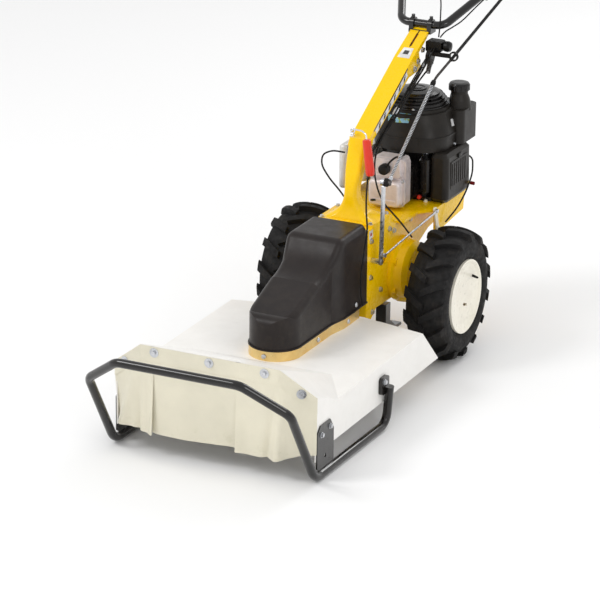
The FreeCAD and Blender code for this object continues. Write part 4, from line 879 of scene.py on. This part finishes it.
class MOWER_OT_engine(MowerStep, bpy.types.Operator):
    """Fit the engine's screws, linkage, spring, hose and knobs"""

    bl_idname = "mower.engine"
    bl_label = "Engine fittings"

    def make(self, sizes, colours):
        screws("rocker_screws", "machine",
               [((15 + x, 54, z), (0, -1, 0)) for x in (-50, 50) for z in (440, 517)], 4.2, 4.0,
               6.5)
        screws("shroud_screws", "machine",
               [((x, y, 591), (dx, dy, 0)) for x, y, dx, dy in (
                   (-96, 214, -0.94, -0.34), (62, 143, 0.2, -0.98), (145, 262, 1, 0),
                   (-66, 354, -0.7, 0.7))], 3.8, 3.2, 6.0)
        middle = 276.0 + AXLE_BACK
        plate = block("linkage_plate", (8.0, 132.0, 7.0), (118.0, middle, 589.0))
        pick(plate, "EDGE", lambda a, b: abs(a.y - b.y) > 50)
        bpy.ops.mesh.subdivide(number_cuts=13)
        leave()
        raised(plate, lambda c, n: n.z > 0.9 and int((c.y - middle + 90) / 9.4) % 2 == 0, 1.2,
               1.8)
        softened(plate, 0.5)
        dressed(plate, "machine", "bright_steel")
        spring = coil("governor_spring", 3.4, 0.6, 1.9, 17, 12, 5)
        put(spring, at(86, 176, 574), (0.5, 0.86, 0.1))
        dressed(spring, "machine", "bright_steel", angle=60.0)
        link = wire("governor_link", [(88, 128, 566), (86, 150, 580), (86, 178, 574)], 1.1)
        dressed(link, "machine", "bright_steel")
        tail = wire("governor_tail", [(101, 204, 577), (110, 218, 580), (118, 226, 590)], 1.1)
        dressed(tail, "machine", "bright_steel")
        hose = wire("fuel_hose", [(120, 344, 598), (146, 350, 560), (132, 344, 506),
                                  (104, 318, 484), (96, 298, 484)], 4.0, 8)
        dressed(hose, "machine", "black_rubber")
        knob = self.knob("choke_knob", 6.5, 14.0)
        put(knob, at(74, 166, 438), (0.2, -1, 0.1))
        dressed(knob, "machine", "red_plastic")
        drain = self.knob("bowl_plug", 6.0, 9.0)
        put(drain, at(95, 166, 428), (0.3, -1, -0.1))
        dressed(drain, "machine", "cream_paint")
        tap = self.knob("fuel_tap", 5.5, 12.0)
        put(tap, at(176, 322, 452), (1, 0.1, -0.1))
        dressed(tap, "machine", "fuel_red")
        valve = cylinder("fuel_tap_body", 5.0, 22.0, 20)
        raised(valve, lambda c, n: n.z > 0.9, 1.0, 3.0)
        softened(valve, 0.5)
        put(valve, at(156, 320, 454), (1, 0.1, -0.1))
        dressed(valve, "machine", "golden_zinc")
        clip = block("filter_clip", (4.0, 26.0, 12.0))
        raised(clip, lambda c, n: n.x > 0.9, 3.0, 1.6)
        softened(clip, 0.8)
        put(clip, at(171, 245, 565))
        dressed(clip, "machine", "black_plastic")
        stick = self.knob("oil_cap", 12.0, 14.0)
        put(stick, at(-58, 196, 574), (-0.5, -0.6, 0.6))
        dressed(stick, "machine", "black_plastic")
        neck = cylinder("oil_neck", 8.5, 34.0, 24)
        raised(neck, lambda c, n: n.z > 0.9, 0.0, 2.0, 1.2)
        softened(neck, 0.6)
        put(neck, at(-42, 214, 548), (-0.5, -0.6, 0.85))
        dressed(neck, "machine", "engine_gloss")
        self.heat_guard()
        screws("silencer_screws", "machine",
               [((-117, y, 582), (0, 0, 1)) for y in (150, 270)], 4.5, 4.0, 8.0)

    def heat_guard(self):
        """The pressed and slotted guard round the silencer."""
        guard = block("silencer_guard", (26.0, 172.0, 142.0))
        softened(guard, 11.0, 4)
        pick(guard, "FACE", lambda c, n: n.x < -0.98 and abs(c.y) < 70)
        bpy.ops.mesh.inset(thickness=7.0 * MM, depth=-2.0 * MM)
        leave()
        put(guard, at(-171, 210, 508))
        slots = []
        for index in range(5):
            rib = block("rib", (3.0, 108.0, 8.0), (-184.5, 210.0 + AXLE_BACK, 464.0 + 22.0 * index))
            raised(rib, lambda c, n: n.x < -0.9, 2.4, 1.4)
            slots.append(softened(rib, 1.0, 2))
        dressed(joined("silencer_guard", [*slots, guard]), "machine", "silencer_grey")

    def knob(self, name, radius, depth):
        """A fluted round knob on a short neck."""
        obj = cylinder(name, radius, depth, KNOB_SIDES)
        step = 360.0 / KNOB_SIDES
        pick(obj, "FACE", lambda c, n: abs(n.z) < 0.3 and
             int(round(math.degrees(math.atan2(c.y, c.x)) / step)) % 2 == 0)
        bpy.ops.mesh.inset(thickness=0.3 * MM, depth=-radius * 0.08 * MM,
                           use_individual=True)
        leave()
        raised(obj, lambda c, n: n.z > 0.9, radius * 0.2, 1.2)
        softened(obj, 0.4, 2)
        return obj


class MOWER_OT_starter(MowerStep, bpy.types.Operator):
    """Fit the starter's rim screws, centre boss and moulded rings"""

    bl_idname = "mower.starter"
    bl_label = "Starter"

    def make(self, sizes, colours):
        screws("starter_screws", "machine",
               [((STARTER_MIDDLE[0] + STARTER_SCREWS_AT * math.cos(a),
                  STARTER_MIDDLE[1] + STARTER_SCREWS_AT * math.sin(a), 710.5), (0, 0, 1))
                for a in (math.radians(d) for d in (198, 288, 18, 108))], 3.6, 2.6, 5.5)
        boss = cylinder("starter_boss", 30.0, 2.6, 48, 751.0)
        raised(boss, lambda c, n: n.z > 0.9, 6.0, -1.4)
        raised(boss, lambda c, n: n.z > 0.9 and c.xy.length < 24, 8.0, 1.6)
        softened(boss, 0.5, 2)
        boss.location = at(*STARTER_MIDDLE, 0.4)
        choose(boss)
        bpy.ops.object.transform_apply(location=True, rotation=True, scale=True)
        dressed(boss, "machine", "engine_gloss")
        rings = []
        for radius, level in ((93.5, 720.3), (87.0, 728.3), (80.0, 736.3)):
            deselect()
            bpy.ops.mesh.primitive_torus_add(major_radius=radius * MM, minor_radius=1.3 * MM,
                                             major_segments=96, minor_segments=6,
                                             location=at(*STARTER_MIDDLE, level))
            ring = started("ring")
            bpy.ops.object.transform_apply(location=True, rotation=True, scale=True)
            rings.append(ring)
        dressed(joined("starter_rings", rings), "machine", "engine_gloss", angle=60.0)


# --- handlebar and head fittings --------------------------------------------------------------


def strap(radius, width, corners, rim, inset, place, axis):
    """A band round a tube or cable, with its lock standing out at one side."""
    band = cylinder("band", radius, width, corners)
    raised(band, lambda c, n: c.y < rim - radius and abs(n.z) < 0.5, inset, 4.0)
    softened(band, 0.5, 2)
    return put(band, at(*place), axis)


class MOWER_OT_head(MowerStep, bpy.types.Operator):
    """Fit the steering head's slot, nuts, cable adjusters and spring"""

    bl_idname = "mower.head"
    bl_label = "Steering head"

    def make(self, sizes, colours):
        slot = block("head_slot", (3.2, 78.0, 1.2))
        pick(slot, "FACE", lambda c, n: n.z > 0.9)
        bpy.ops.mesh.inset(thickness=0.6 * MM, depth=-0.5 * MM)
        leave()
        softened(slot, 0.3, 1)
        slope = Vector((0.0, 138.0, 64.0)).normalized()
        slot.matrix_world = (Matrix.Translation(at(0, 268, 903.6))
                             @ Matrix.Rotation(math.atan2(slope.z, slope.y), 4, "X"))
        choose(slot)
        bpy.ops.object.transform_apply(location=True, rotation=True, scale=True)
        dressed(slot, "machine", "black_plastic")
        screws("head_nuts", "machine",
               [((30.2, 262, 874), (1, 0, 0)), ((30.2, 230, 846), (1, 0, 0)),
                ((-30.2, 262, 874), (-1, 0, 0)), ((30.2, 205, 828), (1, 0, 0))], 6.5, 5.0, 9.5)
        spring = coil("return_spring", 6.5, 1.0, 2.6, 18, 14, 6)
        put(spring, at(58, 262, 846), (0.15, -0.75, -0.65))
        dressed(spring, "machine", "dark_steel", angle=60.0)
        adjusters = []
        for x, y, z, axis in ((40, 262, 838, (0, -0.86, -0.5)), (62, 258, 830, (-0.1, -0.86, -0.4)),
                              (37, 60, 741, (0, -0.87, -0.5)), (44, 60, 738, (0, -0.87, -0.5))):
            barrel = cylinder("barrel", 4.6, 20.0, 6)
            raised(barrel, lambda c, n: n.z > 0.9, 1.2, 5.0)
            raised(barrel, lambda c, n: n.z < -0.9, 1.2, 7.0)
            softened(barrel, 0.4, 2)
            adjusters.append(put(barrel, at(x, y, z), axis))
        dressed(joined("cable_adjusters", adjusters), "machine", "bright_steel")
        ties = [strap(8.0, 5.0, 20, 0.8, 0.4, place, axis) for place, axis in (
            ((37.5, 150, 779), (0, 0.87, 0.5)), ((44, 20, 716), (0, 0.87, 0.5)),
            ((47, -150, 598), (-0.2, 0.5, 1)), ((66, -160, 520), (-0.3, 0.5, 1)))]
        dressed(joined("cable_ties", ties), "machine", "black_plastic")


class MOWER_OT_bar_cables(MowerStep, bpy.types.Operator):
    """Run the thin cables from the handlebar to the head and down the arm"""

    bl_idname = "mower.bar_cables"
    bl_label = "Bar cables"

    def make(self, sizes, colours):
        radius = sizes.cable_radius / MM
        runs = {
            "left": [(236, 732, 1040), (222, 690, 1052), (206, 630, 1060), (180, 575, 1046),
                     (150, 510, 1012), (120, 440, 970), (104, 390, 942), (88, 346, 930),
                     (76, 318, 922), (70, 304, 908)],
            "right": [(-236, 732, 1040), (-222, 690, 1056), (-196, 620, 1066), (-150, 530, 1056),
                      (-84, 440, 1044), (0, 366, 1046), (56, 322, 1046), (70, 304, 1022),
                      (71, 300, 980), (70, 299, 940), (67, 298, 910)]}
        for name, run in runs.items():
            cable = wire("bar_cable_" + name, run, radius, 6)
            dressed(cable, None, "black_rubber")
            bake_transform(cable)
        for side, name in ((1, "left"), (-1, "right")):
            clips = [strap(16.0, 6.0, 28, 1.5, 0.5, (side * x, y, z),
                           (side * axis[0], *axis[1:])) for x, y, z, axis in (
                (196, 600, 1072, (0.3, 0.92, 0.1)), (140, 470, 1010, (0.42, 0.8, 0.42)))]
            dressed(joined("bar_clips_" + name, clips), "handlebar_set", "black_plastic")
        for index, (out, lower) in enumerate(((0, 0), (8, 5), (15, -3))):
            run = [(58 + out * 0.4, 286, 884 - lower), (50 + out, 236, 852 - lower),
                   (43 + out, 150, 800 - lower), (42 + out, 60, 746 - lower),
                   (38 + out * 0.6, -20, 696 - lower), (30 + out * 0.3, -70, 660),
                   (18, -112, 626)]
            dressed(wire(f"head_cable_{index}", run, radius * 0.85, 6), "machine",
                    "black_rubber")


class MOWER_OT_wheels(MowerStep, bpy.types.Operator):
    """Fit the valve stems on both wheels"""

    bl_idname = "mower.wheels"
    bl_label = "Wheel fittings"

    def make(self, sizes, colours):
        stems = []
        for side in (1, -1):
            stem = cylinder("stem", 4.0, 22.0, 20)
            raised(stem, lambda c, n: n.z > 0.9, 0.9, 3.0)
            raised(stem, lambda c, n: n.z > 0.9, 0.4, 9.0)
            softened(stem, 0.5, 2)
            stems.append(put(stem, at(side * 290, 72, 205 + 44), (side * 0.9, -0.45, 0.0)))
        dressed(joined("valve_stems", stems), "axle_set", "black_rubber")


# --- studio -----------------------------------------------------------------------------------

CAMERA_PLACE = (4.2270, -9.0751, 3.8903)
CAMERA_TURN = (-25.793, 20.232, 0.596)  # yaw, pitch and roll in degrees
CAMERA_LENS = 212.47
SENSOR_WIDTH = 36.0
FLOOR_TONE = 0.94
AIR_STRENGTH = 0.8
LIGHT_AIM = (0, -0.1, 0.3)
LIGHTS = (  # name, place, width, power
    ("key_light", (-3.2, -3.4, 4.6), 2.2, 110.0),
    ("fill_light", (4.2, -3.0, 3.0), 2.0, 40.0),
    ("back_light", (1.0, 4.2, 3.6), 2.0, 50.0))


class MOWER_OT_stage(MowerStep, bpy.types.Operator):
    """Set the pale floor, the soft lights and the camera"""

    bl_idname = "mower.stage"
    bl_label = "Studio"

    def make(self, sizes, colours):
        deselect()
        bpy.ops.mesh.primitive_plane_add(size=sizes.floor_span, location=(0.0, 0.0, 0.0))
        floor = started("studio_floor")
        card = Finish("studio_card", rough=0.9)
        card.shader.inputs["Base Color"].default_value = (*[FLOOR_TONE] * 3, 1.0)
        floor.data.materials.append(card.material)
        world = bpy.data.worlds.new("studio_air")
        world.use_nodes = True
        air = world.node_tree.nodes["Background"]
        air.inputs["Color"].default_value = (1.0, 1.0, 1.0, 1.0)
        air.inputs["Strength"].default_value = AIR_STRENGTH
        bpy.context.scene.world = world
        bpy.context.scene.view_settings.view_transform = "Standard"
        for name, place, size, watts in LIGHTS:
            lamp = bpy.data.lights.new(name, "AREA")
            lamp.shape, lamp.size, lamp.energy = "DISK", size, watts
            holder = bpy.data.objects.new(name, lamp)
            holder.location = place
            holder.rotation_mode = "QUATERNION"
            holder.rotation_quaternion = (Vector(LIGHT_AIM) - Vector(place)).to_track_quat(
                "-Z", "Y")
            bpy.context.scene.collection.objects.link(holder)
        self.camera()

    def camera(self):
        yaw, pitch, roll = (math.radians(a) for a in CAMERA_TURN)
        ahead = Vector((math.sin(yaw) * math.cos(pitch), math.cos(yaw) * math.cos(pitch),
                        -math.sin(pitch)))
        across = ahead.cross(Vector((0, 0, 1))).normalized()
        above = across.cross(ahead)
        right = across * math.cos(roll) + above * math.sin(roll)
        top = above * math.cos(roll) - across * math.sin(roll)
        lens = bpy.data.cameras.new("studio_camera")
        lens.lens, lens.sensor_width = CAMERA_LENS, SENSOR_WIDTH
        lens.clip_start, lens.clip_end = 0.5, 200.0
        camera = bpy.data.objects.new("studio_camera", lens)
        axes = Matrix((right, top, -ahead)).transposed().to_4x4()
        camera.matrix_world = Matrix.Translation(CAMERA_PLACE) @ axes
        bpy.context.scene.collection.objects.link(camera)
        bpy.context.scene.camera = camera


# --- add-on -----------------------------------------------------------------------------------

STEPS = (MOWER_OT_stage, MOWER_OT_finishes, MOWER_OT_curtain, MOWER_OT_gear_rod,
         MOWER_OT_stickers, MOWER_OT_engine, MOWER_OT_starter, MOWER_OT_head,
         MOWER_OT_bar_cables, MOWER_OT_wheels)


class MOWER_PT_panel(bpy.types.Panel):
    """Lists the steps that dress the mower"""

    bl_idname = "MOWER_PT_panel"
    bl_label = "Brush mower"
    bl_space_type = "VIEW_3D"
    bl_region_type = "UI"
    bl_category = "Brush mower"

    def draw(self, context):
        for group in (context.scene.mower_sizes, context.scene.mower_colours):
            for key in group.__annotations__:
                self.layout.prop(group, key)
        for step in STEPS:
            self.layout.operator(step.bl_idname)


CLASSES = (MowerColours, MowerSizes, *STEPS, MOWER_PT_panel)


def register():
    for kind in CLASSES:
        bpy.utils.register_class(kind)
    bpy.types.Scene.mower_colours = bpy.props.PointerProperty(type=MowerColours)
    bpy.types.Scene.mower_sizes = bpy.props.PointerProperty(type=MowerSizes)


def unregister():
    del bpy.types.Scene.mower_sizes
    del bpy.types.Scene.mower_colours
    for kind in reversed(CLASSES):
        bpy.utils.unregister_class(kind)


def main():
    register()
    for step in STEPS:
        group, name = step.bl_idname.split(".")
        getattr(getattr(bpy.ops, group), name)()
    deselect()


if __name__ == "__main__":
    main()
